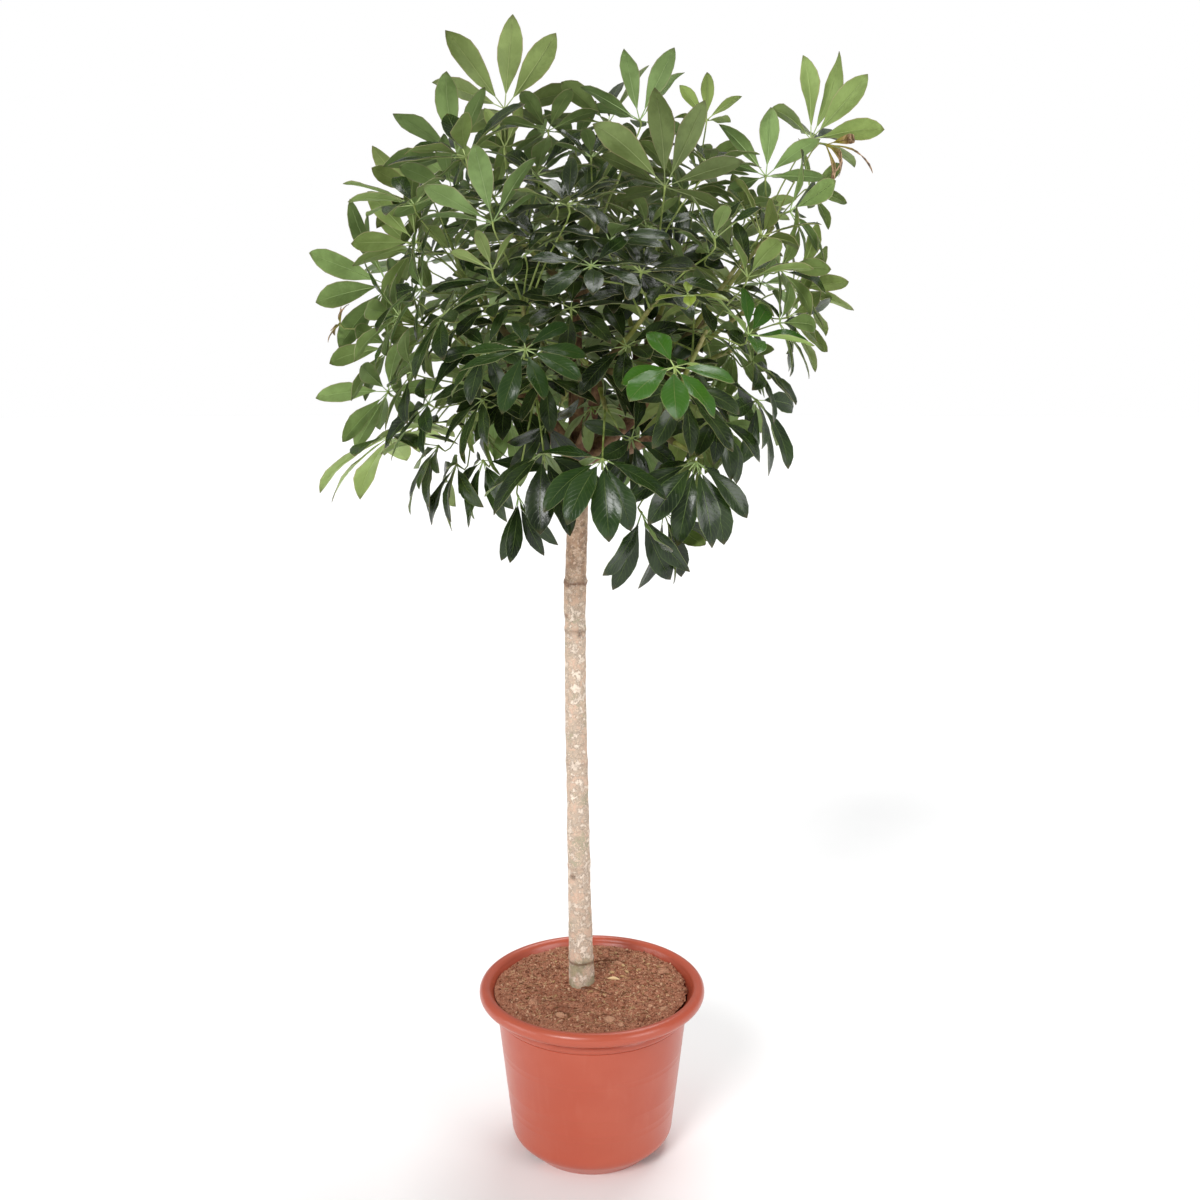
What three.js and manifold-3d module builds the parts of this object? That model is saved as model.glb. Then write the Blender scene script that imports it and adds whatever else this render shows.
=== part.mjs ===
// A potted umbrella plant grown as a small standard tree: a nursery pot with a rolled rim, the potting
// soil in it, a bare trunk that stands in a plain hole in the soil and forks into woody limbs, and
// green leafy stems on the limbs. Each leafy stem carries several leaves, and each leaf is a long
// stalk with a ring of leaflets at its end, like the ribs of an umbrella.
//
// Millimetres, +Z up. The origin is the middle of the foot of the pot, and -Y is the front.
import * as THREE from "three";
import { mergeVertices } from "three/addons/utils/BufferGeometryUtils.js";
import Module from "manifold-3d";

const wasm = await Module();
wasm.setup();

const GAP = 0.3; // the clearance between neighbouring pieces
const vec = (x, y, z) => new THREE.Vector3(x, y, z);
const UP = vec(0, 0, 1);

// ---- Driving dimensions -------------------------------------------------------------------------

const POT = {
  height: 275,
  rimRadius: 180, // out to the roll
  rollRadius: 9.7,
  wallAtFoot: 125.5, // the wall's radius if it ran straight down to the ground
  wallFlare: 0.113, // and how fast it widens with height
  wall: 2,
  collarStep: 1.6,
  collarBottom: 232,
  cornerTop: 42, // where the wall turns in towards the foot
  footOuter: 100,
  footInner: 91,
  floorBottom: 10,
  floorTop: 13,
  sides: 36,
};
const SOIL = { top: 266, crown: 6, edge: 156, sides: 26 }; // the edge lies in the rim's flare
const TRUNK = { bottom: 110, forkHeight: 1120, sides: 10 };
const TRUNK_LINE = [
  // height, sideways, back, radius
  [TRUNK.bottom, -15, 0, 17],
  [190, -16, 0, 21.5],
  [262, -16, 0, 21.4],
  [300, -17, 0, 19.6],
  [430, -20, 1, 18],
  [577, -22, 2, 17],
  [720, -25, 1, 16.4],
  [900, -25, 0, 16],
  [922, -25, 0, 17.2],
  [940, -24, 0, 15.6],
  [1017, -21, 0, 15.6],
  [TRUNK.forkHeight, -20, 0, 17],
  [1150, -20, 0, 13],
];
const HEART = vec(-8, 0, 1235); // the middle of the crown, which the leaves face away from
const CROWN_MIDDLE = vec(-5, 0, 1345);
const CROWN_REACH = vec(310, 300, 262); // from the middle to the furthest leaf hubs
const MOST_LEAN = THREE.MathUtils.degToRad(62);
const GOLDEN_TURN = Math.PI * (3 - Math.sqrt(5));

// The ends of the woody limbs.
const LIMB_ENDS = [
  vec(-22, 12, 1345),
  vec(-88, -62, 1245),
  vec(-112, 40, 1215),
  vec(-30, 105, 1225),
  vec(72, 78, 1240),
  vec(96, -20, 1225),
  vec(92, -128, 1150),
  vec(10, -98, 1230),
];
// The tips of the leafy stems, which the leaves' stalks start near.
const STEM_TIPS = [
  vec(-92, -150, 1325), vec(95, -105, 1395), vec(-120, -15, 1440), vec(10, -30, 1440),
  vec(215, -55, 1395), vec(262, 10, 1440), vec(-190, -20, 1375), vec(-215, -15, 1300),
  vec(-200, -10, 1215), vec(-165, -80, 1185), vec(-75, -150, 1200), vec(-30, -190, 1270),
  vec(70, -190, 1240), vec(20, -170, 1185), vec(148, -165, 1122), vec(165, -80, 1215),
  vec(200, -30, 1265), vec(155, -150, 1285), vec(232, 20, 1330), vec(90, -190, 1330),
  vec(150, 110, 1440), vec(-50, 100, 1450), vec(-165, 100, 1350), vec(50, 160, 1380),
  vec(190, 120, 1320), vec(-85, 185, 1290), vec(45, 210, 1270), vec(160, 165, 1225),
  vec(-175, 125, 1220), vec(-50, 150, 1190), vec(85, 120, 1180),
];
const MOST_LEAFLETS = { front: 5, fill: 5 }; // as many as are made here, of the leaves with more
const FEWEST_LEAFLETS = 3; // a leaf with less room than this isn't made
const SHORTER_BACK = 0.13; // half of how much a leaflet is shorter where it points back along the stalk
const LEAFLET = { widestAt: 0.62, widthShare: 0.3, thickness: 2.4, fold: 2.5, slot: 3.2 };
const STALK = { hub: 3.8, foot: 2.7, top: 2.3, rise: 1.5, sink: 2.6, knee: 13 };

// The leaves seen from the front: the hub's place, the length of a leaflet with its stalklet, how many
// leaflets, which way the leaf faces (its bearing from the front, turning to the right, and its lift
// above level), its cup (the angle from that way to its leaflets) and how far the leaflets hang. The
// last two have withered, so their leaflets are narrower, by the share of their length at the end.
const FRONT_LEAVES = [
  [-124, 0, 1608, 130, 8, 180, 38, 54, 0],
  [250, -20, 1512, 98, 8, 170, 48, 60, 0],
  [304, 50, 1362, 104, 8, 105, 14, 52, 0.05],
  [-123, -20, 1552, 62, 5, 180, 50, 50, 0],
  [-60, -60, 1566, 84, 7, 180, 62, 72, 0],
  [-187, -60, 1535, 108, 8, -130, 46, 54, 0],
  [-127, -200, 1425, 112, 7, -150, 62, 56, 0],
  [-126, -230, 1362, 62, 5, -150, 60, 45, 0],
  [-242, -20, 1487, 94, 8, -105, 26, 52, 0],
  [-246, 70, 1476, 92, 8, -100, 12, 54, 0.05],
  [-250, -40, 1418, 108, 9, -124, 18, 54, 0.02],
  [-298, 0, 1362, 134, 9, -116, 10, 58, 0.1],
  [-232, -120, 1348, 98, 9, -80, 24, 62, 0.15],
  [-196, -170, 1310, 98, 8, -60, 42, 78, 0.25],
  [-294, -20, 1272, 104, 9, -128, 26, 66, 0.15],
  [-302, 0, 1208, 106, 9, -132, 26, 66, 0.15],
  [-296, -24, 1144, 140, 9, -106, 68, 84, 0.2],
  [-262, 30, 1156, 92, 8, -90, 56, 80, 0.45],
  [-194, -70, 1105, 100, 7, -70, 24, 64, 0.9],
  [-152, -110, 1112, 92, 7, -40, 30, 66, 0.9],
  [-61, -250, 1130, 108, 8, -10, 58, 84, 0.75, 0.36],
  [-80, -300, 1260, 96, 9, 5, 56, 86, 0.12],
  [2, -290, 1362, 86, 8, 10, 62, 76, 0.05],
  [16, -300, 1124, 106, 8, 5, 54, 84, 0.65, 0.38],
  [68, -230, 1050, 112, 5, 10, -40, 34, 0.5],
  [100, -180, 1046, 104, 5, 50, -40, 34, 0.5],
  [140, -220, 1116, 122, 8, 15, 46, 74, 1, 0.32],
  [172, -150, 1172, 112, 8, 25, 50, 76, 0.8],
  [238, -60, 1196, 112, 8, 60, 26, 62, 0.8],
  [104, -326, 1238, 88, 7, -15, 60, 86, 0.3, 0.46],
  [228, -80, 1250, 100, 8, 70, 30, 66, 0.4],
  [290, 10, 1316, 98, 8, 95, 8, 56, 0.12],
  [210, -190, 1282, 96, 7, 50, 55, 60, 0.05],
  [122, -290, 1326, 56, 6, 0, 80, 84, 0],
  [212, -150, 1360, 94, 7, 60, 64, 50, 0],
  [268, -60, 1378, 100, 9, 100, 22, 58, 0.05],
  [284, -30, 1462, 96, 8, 95, 24, 58, 0.08],
  [318, 10, 1568, 116, 9, 118, 42, 44, 0],
  [326, 60, 1506, 76, 6, 110, 22, 60, 0.05],
  [97, -200, 1470, 124, 8, 170, 54, 56, 0],
  [68, -60, 1580, 100, 7, 180, 58, 46, 0],
  [25, 0, 1588, 110, 7, -125, 58, 42, 0],
  [160, -100, 1515, 82, 7, 60, 70, 62, 0],
  [167, 20, 1596, 66, 6, 170, 58, 42, 0],
  [158, -240, 1400, 70, 6, 10, 74, 40, 0],
  [1, -120, 1520, 70, 7, 0, 76, 52, 0],
  [-100, -160, 1066, 94, 5, 10, -40, 30, 0.5, 0.24],
  [-222, -50, 1130, 104, 8, -60, 24, 64, 0.9],
  [-268, -90, 1312, 100, 8, -85, 16, 60, 0.15],
  [-250, -104, 1236, 104, 8, -76, 30, 68, 0.3],
  [-250, 60, 1300, 96, 8, -100, 6, 58, 0.15],
  [-228, -110, 1192, 100, 8, -60, 26, 66, 0.5],
  [-262, 60, 1418, 92, 8, -110, 24, 60, 0.05],
  [-196, -50, 1486, 98, 8, -115, 46, 60, 0],
  [262, -110, 1302, 96, 8, 80, 16, 58, 0.15],
  [236, -96, 1420, 96, 8, 80, 46, 62, 0],
  [336, -14, 1556, 78, 7, 80, 10, 50, 0.6, 0.2],
  [-358, -60, 1304, 34, 6, -80, 30, 70, 0, 0.24],
];
// The rest fill an outer and an inner layer of the crown by rule, wherever no hub is near yet.
const FILL_LAYERS = [
  { points: 110, reach: 1, spacing: 84 },
  { points: 60, reach: 0.76, spacing: 78 },
  { points: 24, reach: 0.5, spacing: 74 },
];
const TRUNK_ROOM = 0.86; // no leaf hub lies closer than this to straight below the crown's middle

// ---- Small tools --------------------------------------------------------------------------------

const radians = THREE.MathUtils.degToRad;
const mix = (a, b, t) => a + (b - a) * t;
const clamp = (x) => Math.min(1, Math.max(0, x));

// The same draws each time: a linear congruential generator with whole numbers only.
let drawState = 20417;
function draw(low, high) {
  drawState = (drawState * 1664525 + 1013904223) % 4294967296;
  return low + ((high - low) * drawState) / 4294967296;
}

function solidOf(geometry) {
  const bare = geometry.clone();
  bare.deleteAttribute("normal");
  bare.deleteAttribute("uv");
  const merged = mergeVertices(bare, 1e-4);
  const solid = new wasm.Manifold(
    new wasm.Mesh({
      numProp: 3,
      vertProperties: new Float32Array(merged.attributes.position.array),
      triVerts: new Uint32Array(merged.index.array),
    }),
  );
  return solid;
}

function geometryOf(solid) {
  const mesh = solid.getMesh();
  const geometry = new THREE.BufferGeometry();
  geometry.setAttribute("position", new THREE.BufferAttribute(mesh.vertProperties, 3));
  geometry.setIndex(new THREE.BufferAttribute(mesh.triVerts, 1));
  geometry.computeVertexNormals();
  return geometry;
}

function facesGeometry(points, faces) {
  const geometry = new THREE.BufferGeometry();
  geometry.setAttribute(
    "position",
    new THREE.BufferAttribute(new Float32Array(points.flatMap((p) => [p.x, p.y, p.z])), 3),
  );
  geometry.setIndex(faces.flat());
  return geometry;
}

// A closed tapering limb through the points, round each of which it has a ring of that radius.
function taperedLimb(points, radii, sides) {
  const rings = [];
  let side = vec(1, 0, 0);
  points.forEach((point, i) => {
    const ahead = points[Math.min(i + 1, points.length - 1)];
    const behind = points[Math.max(i - 1, 0)];
    const along = ahead.clone().sub(behind).normalize();
    if (i === 0 && Math.abs(along.x) > 0.9) side = vec(0, 1, 0);
    side = side.clone().addScaledVector(along, -side.dot(along)).normalize();
    const other = along.clone().cross(side);
    for (let k = 0; k < sides; k++) {
      const angle = (2 * Math.PI * k) / sides;
      rings.push(
        point
          .clone()
          .addScaledVector(side, radii[i] * Math.cos(angle))
          .addScaledVector(other, radii[i] * Math.sin(angle)),
      );
    }
  });
  const faces = [];
  const last = (points.length - 1) * sides;
  for (let i = 0; i < points.length - 1; i++) {
    for (let k = 0; k < sides; k++) {
      const a = i * sides + k;
      const b = i * sides + ((k + 1) % sides);
      faces.push([a, b, b + sides], [a, b + sides, a + sides]);
    }
  }
  for (let k = 1; k < sides - 1; k++) {
    faces.push([0, k + 1, k], [last, last + k, last + k + 1]);
  }
  return facesGeometry(rings, faces);
}

// ---- The plan of the crown ----------------------------------------------------------------------
// Everything that takes room is entered as a thin box, and no leaflet is placed through another box.

const rooms = [];

function roomAlong(from, to, sideways, halfWidth, halfThickness, owner) {
  const along = to.clone().sub(from);
  const halfLength = along.length() / 2;
  along.normalize();
  const across = sideways.clone().addScaledVector(along, -sideways.dot(along)).normalize();
  return {
    middle: from.clone().add(to).multiplyScalar(0.5),
    axes: [along, across, along.clone().cross(across)],
    halves: [halfLength, halfWidth, halfThickness],
    reach: Math.hypot(halfLength, halfWidth, halfThickness),
    owner,
  };
}

function parted(a, b, axis, distance) {
  const size = axis.length();
  if (size < 1e-6) return false;
  let reach = 0;
  for (let i = 0; i < 3; i++) {
    reach += a.halves[i] * Math.abs(a.axes[i].dot(axis)) + b.halves[i] * Math.abs(b.axes[i].dot(axis));
  }
  return Math.abs(distance.dot(axis)) > reach;
}

function roomsMeet(a, b) {
  const distance = b.middle.clone().sub(a.middle);
  if (distance.length() > a.reach + b.reach) return false;
  for (const axis of [...a.axes, ...b.axes]) if (parted(a, b, axis, distance)) return false;
  for (const p of a.axes) {
    for (const q of b.axes) if (parted(a, b, p.clone().cross(q), distance)) return false;
  }
  return true;
}

const taken = (room, ignored) => rooms.some((other) => !ignored(other) && roomsMeet(room, other));

const anySide = (from, to) =>
  Math.abs(to.clone().sub(from).normalize().z) > 0.9 ? vec(1, 0, 0) : vec(0, 0, 1);

function enterRod(points, radii, owner) {
  for (let i = 0; i < points.length - 1; i++) {
    const radius = Math.max(radii[i], radii[i + 1]) + 1;
    rooms.push(roomAlong(points[i], points[i + 1], anySide(points[i], points[i + 1]), radius, radius, owner));
  }
}

function crownPoint(k, count, share) {
  const up = 1 - (2 * k + 1) / count;
  const around = k * GOLDEN_TURN;
  const level = Math.sqrt(1 - up * up);
  return vec(level * Math.sin(around), -level * Math.cos(around), up)
    .multiply(CROWN_REACH)
    .multiplyScalar(share)
    .add(CROWN_MIDDLE);
}

// The trunk, and the limbs that leave its head and rise to their ends in one bend.
const trunkPoints = TRUNK_LINE.map(([z, x, y]) => vec(x, y, z));
const trunkRadii = TRUNK_LINE.map((row) => row[3]);
const head = vec(-20, 0, TRUNK.forkHeight - 12);
const limbs = LIMB_ENDS.map((end) => {
  const knee = head.clone().lerp(end, 0.5);
  knee.x = mix(knee.x, end.x, 0.35);
  knee.y = mix(knee.y, end.y, 0.35);
  return { points: [head, knee, end], radii: [12, 9.5, 7.5] };
});
enterRod(trunkPoints, trunkRadii, "wood");
limbs.forEach((limb) => enterRod(limb.points, limb.radii, "wood"));

// The leafy stems. A woody twig goes part of the way from the nearest limb, and the green stem the rest.
const stems = STEM_TIPS.map((tip, k) => {
  const end = LIMB_ENDS.reduce((a, b) => (a.distanceTo(tip) < b.distanceTo(tip) ? a : b));
  const foot = end.clone().lerp(tip, 0.42);
  const twig = [end, foot.clone().lerp(end, GAP / foot.distanceTo(end))];
  return { name: "leafy_stem_" + String(k + 1).padStart(2, "0"), twig, foot, tip, leaves: [] };
});
for (const stem of stems) {
  enterRod(stem.twig, [6, 5], "wood");
  enterRod([stem.foot, stem.tip], [4.6, 3.6], stem.name);
}

// The leaves: first those seen from the front, then those that fill the crown.
const leaves = FRONT_LEAVES.map(([x, y, z, length, leaflets, bearing, lift, cup, hang, widthShare]) => {
  return { front: true, hub: vec(x, y, z), length, leaflets, bearing, lift, cup, hang, widthShare };
});
for (const layer of FILL_LAYERS) {
  for (let k = 0; k < layer.points; k++) {
    const hub = crownPoint(k, layer.points, layer.reach * draw(0.93, 1.03));
    const length = draw(78, 112);
    const leaflets = Math.floor(draw(8, 10));
    const below = CROWN_MIDDLE.z - hub.z > TRUNK_ROOM * CROWN_REACH.z * layer.reach;
    if (below || leaves.some((leaf) => leaf.hub.distanceTo(hub) < layer.spacing)) continue;
    leaves.push({ hub, length, leaflets });
  }
}

// Which way a leaf faces: away from the heart and up to the light, more cupped the higher it is.
function face(leaf) {
  const outward = leaf.hub.clone().sub(HEART);
  const height = clamp((leaf.hub.z - 1080) / 500);
  const level = vec(outward.x, outward.y, 0).normalize();
  const axis = level.clone().multiplyScalar(mix(0.6, 0.32, height)).add(vec(0, 0, mix(0.6, 1, height)));
  if (leaf.lift !== undefined) {
    const bearing = radians(leaf.bearing);
    const lift = radians(leaf.lift);
    level.set(Math.sin(bearing), -Math.cos(bearing), 0);
    axis.copy(level).multiplyScalar(Math.cos(lift)).addScaledVector(UP, Math.sin(lift));
  }
  leaf.axis = axis.normalize();
  leaf.level = level;
  leaf.widthShare ??= LEAFLET.widthShare;
  leaf.cup ??= mix(84, 60, clamp(height * 1.3));
  leaf.hang ??= mix(0.8, 0.06, clamp(height * 1.5));
  leaf.turn = draw(-12, 12);
}

// A leaf that fills the crown leans at most so far from the line of its stalk. One seen from the front
// may lean further, and then its stalk has a knee just under the hub.
function lean(leaf) {
  const ahead = leaf.hub.clone().sub(leaf.foot).normalize();
  const across = leaf.axis.clone().addScaledVector(ahead, -leaf.axis.dot(ahead)).normalize();
  if (leaf.axis.angleTo(ahead) > MOST_LEAN) {
    if (leaf.front) leaf.knee = leaf.hub.clone().addScaledVector(leaf.axis, -STALK.knee);
    else leaf.axis = ahead.multiplyScalar(Math.cos(MOST_LEAN)).addScaledVector(across, Math.sin(MOST_LEAN));
  }
  leaf.outward = leaf.level.clone().addScaledVector(leaf.axis, -leaf.level.dot(leaf.axis)).normalize();
  leaf.sideways = leaf.axis.clone().cross(leaf.outward);
}

// The stalk runs from a stem near the hub. It takes the first stem and height that leave it clear.
const STALK_FEET = [1, 0.86, 0.72, 0.58, 0.93, 0.79, 0.65, 0.5];
function plantStalk(leaf) {
  const near = [...stems].sort((a, b) => a.tip.distanceTo(leaf.hub) - b.tip.distanceTo(leaf.hub));
  for (const stem of near.slice(0, 4)) {
    const first = stem.leaves.length;
    for (let i = 0; i < STALK_FEET.length; i++) {
      const share = STALK_FEET[(first + i) % STALK_FEET.length] * 0.97;
      const foot = stem.foot.clone().lerp(stem.tip, share);
      const room = roomAlong(foot, leaf.hub, anySide(foot, leaf.hub), STALK.hub, STALK.hub, stem.name);
      if (taken(room, (other) => other.owner === stem.name)) continue;
      leaf.stem = stem;
      leaf.foot = foot;
      leaf.room = room;
      stem.leaves.push(leaf);
      rooms.push(room);
      lean(leaf);
      return;
    }
  }
}

// One leaflet's line: its root at the hub, the place where it is widest, and its tip.
function leafletLine(leaf, around, cup, length) {
  const level = leaf.outward.clone().multiplyScalar(Math.cos(around));
  level.addScaledVector(leaf.sideways, Math.sin(around));
  const along = leaf.axis.clone().multiplyScalar(Math.cos(cup)).addScaledVector(level, Math.sin(cup));
  along.addScaledVector(UP, -leaf.hang).normalize();
  const face = leaf.axis.clone().addScaledVector(along, -leaf.axis.dot(along)).normalize();
  const drop = mix(0.09, 0.24, clamp(leaf.hang * 1.6)) * length;
  const at = (share) =>
    leaf.hub.clone().addScaledVector(along, share * length).addScaledVector(face, -drop * share * share);
  const half = (length * leaf.widthShare) / 2;
  return { root: leaf.hub, wide: at(LEAFLET.widestAt), tip: at(1), face, length, half, around };
}

function leafletRooms(line, leaf) {
  const half = line.half;
  const across = line.face.clone().cross(line.tip.clone().sub(line.root));
  const spots = [0.2, 0.6, 1].map((share) => line.root.clone().lerp(line.wide, share));
  return [
    roomAlong(spots[0], spots[1], across, half * 0.7, LEAFLET.slot, leaf),
    roomAlong(spots[1], spots[2], across, half, LEAFLET.slot, leaf),
    roomAlong(line.wide, line.tip, across, half * 0.85, LEAFLET.slot, leaf),
  ];
}

// What a leaflet tries in turn, until it is clear of the others: a change of cup and of turn, in degrees.
const BENDS = [
  [0, 0], [9, 0], [-9, 0], [0, 8], [0, -8], [16, 0], [-16, 0], [9, 9], [-9, -9], [24, 0], [-24, 0],
  [12, -14], [-12, 14], [34, 0], [-34, 0],
];
function unfold(leaf) {
  leaf.lines = [];
  const down = leaf.foot.clone().sub(leaf.hub).normalize();
  for (let k = 0; k < leaf.leaflets; k++) {
    const around = (2 * Math.PI * k) / leaf.leaflets + radians(leaf.turn + draw(-5, 5));
    const cup = leaf.cup + draw(-6, 6);
    const back = leafletLine(leaf, around, radians(cup), 1).tip.sub(leaf.hub).dot(down);
    const length = leaf.length * (1 - SHORTER_BACK * (1 + back)) * draw(0.93, 1.04);
    for (const [moreCup, moreTurn] of BENDS) {
      const line = leafletLine(leaf, around + radians(moreTurn), radians(cup + moreCup), length);
      if (line.tip.clone().sub(line.root).normalize().dot(down) > 0.8) continue;
      const [root, ...rest] = leafletRooms(line, leaf);
      const ownRoots = (other) => other === leaf.room || (other.owner === leaf && other.atRoot);
      root.atRoot = true;
      if (taken(root, (other) => other === leaf.room || other.owner === leaf)) continue;
      if (rest.some((room) => taken(room, ownRoots))) continue;
      rooms.push(root, ...rest);
      leaf.lines.push(line);
      break;
    }
  }
}

leaves.forEach(face);
leaves.forEach(plantStalk);
leaves.filter((leaf) => leaf.stem).forEach(unfold);

export const plan = { stems, leaves };

// ---- Leaves -------------------------------------------------------------------------------------

// The leaflets that are left when those closest between their neighbours are dropped one by one.
function spreadLeaflets(lines, most) {
  const kept = [...lines].sort((a, b) => a.bearing - b.bearing);
  while (kept.length > most) {
    const room = kept.map((line, i) => {
      const angle = kept[(i + 1) % kept.length].bearing - kept.at(i - 1).bearing;
      return (angle < 0 ? angle + 2 * Math.PI : angle) * (1 + line.length / 400);
    });
    kept.splice(room.indexOf(Math.min(...room)), 1);
  }
  return kept;
}

// One leaf. Each leaflet is a thin kite, folded along the line from the hub to its tip, and the stalk
// runs from a ring under the hub to a triangle at its foot. A leaflet that hangs so far back that its
// underside would face the stalk is left out.
function leafGeometry(leaf) {
  const round = (angle, radius, from, normal = leaf.axis) => {
    const turn = new THREE.Quaternion().setFromUnitVectors(leaf.axis, normal);
    const way = leaf.outward.clone().multiplyScalar(Math.cos(angle));
    way.addScaledVector(leaf.sideways, Math.sin(angle)).applyQuaternion(turn);
    return way.multiplyScalar(radius).add(from);
  };
  const apex = leaf.hub.clone().addScaledVector(leaf.axis, STALK.rise);
  const under = leaf.hub.clone().addScaledVector(leaf.axis, -STALK.sink);
  for (const line of leaf.lines) {
    const way = line.wide.clone().sub(leaf.hub);
    line.bearing = Math.atan2(way.dot(leaf.sideways), way.dot(leaf.outward));
    line.below = round(line.bearing, STALK.top, under);
    line.across = line.face.clone().cross(line.tip.clone().sub(line.root)).normalize();
    const outer = line.tip.clone().sub(line.below).normalize().cross(line.across);
    line.depth = outer.dot(apex.clone().sub(line.below));
  }
  const lines = spreadLeaflets(
    leaf.lines.filter((line) => line.depth > 0.8),
    leaf.front ? MOST_LEAFLETS.front : MOST_LEAFLETS.fill,
  );
  const n = lines.length;
  const start = lines[0].bearing;
  const next = (i) => (i + 1 < n ? lines[i + 1].bearing : start + 2 * Math.PI);
  const points = [apex];
  const faces = [];
  const ahead = (leaf.knee ?? leaf.hub).clone().sub(leaf.foot).normalize();
  const thirds = [0, 1, 2].map((j) => start + (2 * Math.PI * j) / 3);
  thirds.forEach((angle) => points.push(round(angle, STALK.foot, leaf.foot, ahead)));
  const mitre = ahead.clone().add(leaf.axis).normalize();
  thirds.forEach((angle) => points.push(round(angle, STALK.top, leaf.knee ?? leaf.hub, mitre)));
  const notches = lines.map((line, i) =>
    round((line.bearing + next(i)) / 2, STALK.hub, leaf.hub),
  );
  lines.forEach((line, i) => {
    const edge = line.wide.clone().addScaledVector(line.face, LEAFLET.fold);
    // A side corner keeps to its own side of the notch, or the faces of the leaf would cross.
    const corner = (way, notch) => {
      const side = notch.clone().sub(apex).cross(line.below.clone().sub(apex));
      const room = -way * edge.clone().sub(apex).dot(side);
      const half = Math.min(line.half, (0.9 * room) / Math.max(line.across.dot(side), 1e-6));
      return edge.clone().addScaledVector(line.across, way * half);
    };
    points.push(line.below, corner(-1, notches.at(i - 1)), line.tip, corner(1, notches[i]));
    points.push(notches[i]);
    const [ring, right, tip, left, notch] = [0, 1, 2, 3, 4].map((k) => 7 + 5 * i + k);
    const outline = [7 + 5 * ((i + n - 1) % n) + 4, right, tip, left, notch];
    for (let k = 0; k < 4; k++) {
      faces.push([0, outline[k], outline[k + 1]], [ring, outline[k + 1], outline[k]]);
    }
    faces.push([ring, 7 + 5 * ((i + 1) % n), notch]);
  });
  const stalkTop = leaf.knee ? 4 : 1;
  let [i, j] = [0, 0];
  while (i < n || j < 3) {
    const [ring, foot] = [7 + 5 * (i % n), stalkTop + (j % 3)];
    if (j === 3 || (i < n && next(i) <= start + (2 * Math.PI * (j + 1)) / 3 + 1e-6)) {
      faces.push([ring, foot, 7 + 5 * (++i % n)]);
    } else {
      faces.push([ring, foot, stalkTop + (++j % 3)]);
    }
  }
  if (leaf.knee) {
    for (let k = 0; k < 3; k++) {
      const after = (k + 1) % 3;
      faces.push([4 + k, 1 + k, 4 + after], [4 + after, 1 + k, 1 + after]);
    }
  }
  faces.push([3, 2, 1]);
  return facesGeometry(points, faces);
}

function leafyStem(stem) {
  const middle = stem.foot.clone().lerp(stem.tip, 0.55);
  let solid = solidOf(taperedLimb([stem.foot, middle, stem.tip], [4.4, 4, 3], 5));
  for (const leaf of stem.leaves.filter((leaf) => leaf.lines.length >= FEWEST_LEAFLETS)) {
    solid = solid.add(solidOf(leafGeometry(leaf)));
  }
  return solid;
}

// ---- Wood ---------------------------------------------------------------------------------------

function trunkAndLimbs() {
  let solid = solidOf(taperedLimb(trunkPoints, trunkRadii, TRUNK.sides));
  for (const limb of limbs) solid = solid.add(solidOf(taperedLimb(limb.points, limb.radii, 6)));
  for (const stem of stems) solid = solid.add(solidOf(taperedLimb(stem.twig, [6, 4.8], 5)));
  return solid;
}

// ---- Pot and soil -------------------------------------------------------------------------------

const wallRadius = (z) => POT.wallAtFoot + POT.wallFlare * z;

// Points of a quarter turn or so round (radius, height), from one angle to another, in degrees.
function arc(radius, height, size, from, to, steps) {
  return Array.from({ length: steps + 1 }, (_, i) => {
    const angle = radians(mix(from, to, i / steps));
    return new THREE.Vector2(radius + size * Math.cos(angle), height + size * Math.sin(angle));
  });
}

function turned(profile, sides) {
  return new THREE.LatheGeometry(profile, sides).rotateX(Math.PI / 2);
}

function pot() {
  const p = (r, z) => new THREE.Vector2(r, z);
  const roll = { r: POT.rimRadius - POT.rollRadius, z: POT.height - POT.rollRadius };
  const corner = 24;
  const outerCorner = arc(wallRadius(POT.cornerTop) - corner, POT.cornerTop - 2, corner, -45, 0, 2);
  const inner = corner - POT.wall;
  const innerCorner = arc(wallRadius(POT.cornerTop) - corner, POT.cornerTop - 2, inner, 0, -80, 2);
  const profile = [
    p(0, 0),
    p(30, 0),
    p(31, POT.floorBottom),
    p(POT.footInner, POT.floorBottom),
    p(POT.footInner, 0),
    p(POT.footOuter, 0),
    ...outerCorner,
    p(wallRadius(POT.collarBottom), POT.collarBottom),
    p(wallRadius(POT.collarBottom) + POT.collarStep, POT.collarBottom + 2),
    p(wallRadius(254) + POT.collarStep, 254),
    ...arc(roll.r, roll.z, POT.rollRadius, -110, 170, 7),
    p(wallRadius(250) - POT.wall + 1.5, 258),
    p(wallRadius(245) - POT.wall, 245),
    ...innerCorner,
    p(POT.footOuter - 8, POT.floorTop),
    p(0, POT.floorTop),
  ];
  let solid = solidOf(turned(profile, POT.sides));
  for (const bearing of [-60, 60, 180]) {
    const slot = new THREE.BoxGeometry(40, 30, 16).translate(0, -104, 7).rotateZ(radians(bearing));
    solid = solid.subtract(solidOf(slot));
  }
  for (let k = 0; k < 6; k++) {
    const hole = new THREE.CylinderGeometry(6, 6, 12, 8).rotateX(Math.PI / 2);
    hole.translate(0, -60, POT.floorTop - 2).rotateZ(radians(60 * k + 30));
    solid = solid.subtract(solidOf(hole));
  }
  return solid;
}

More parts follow.
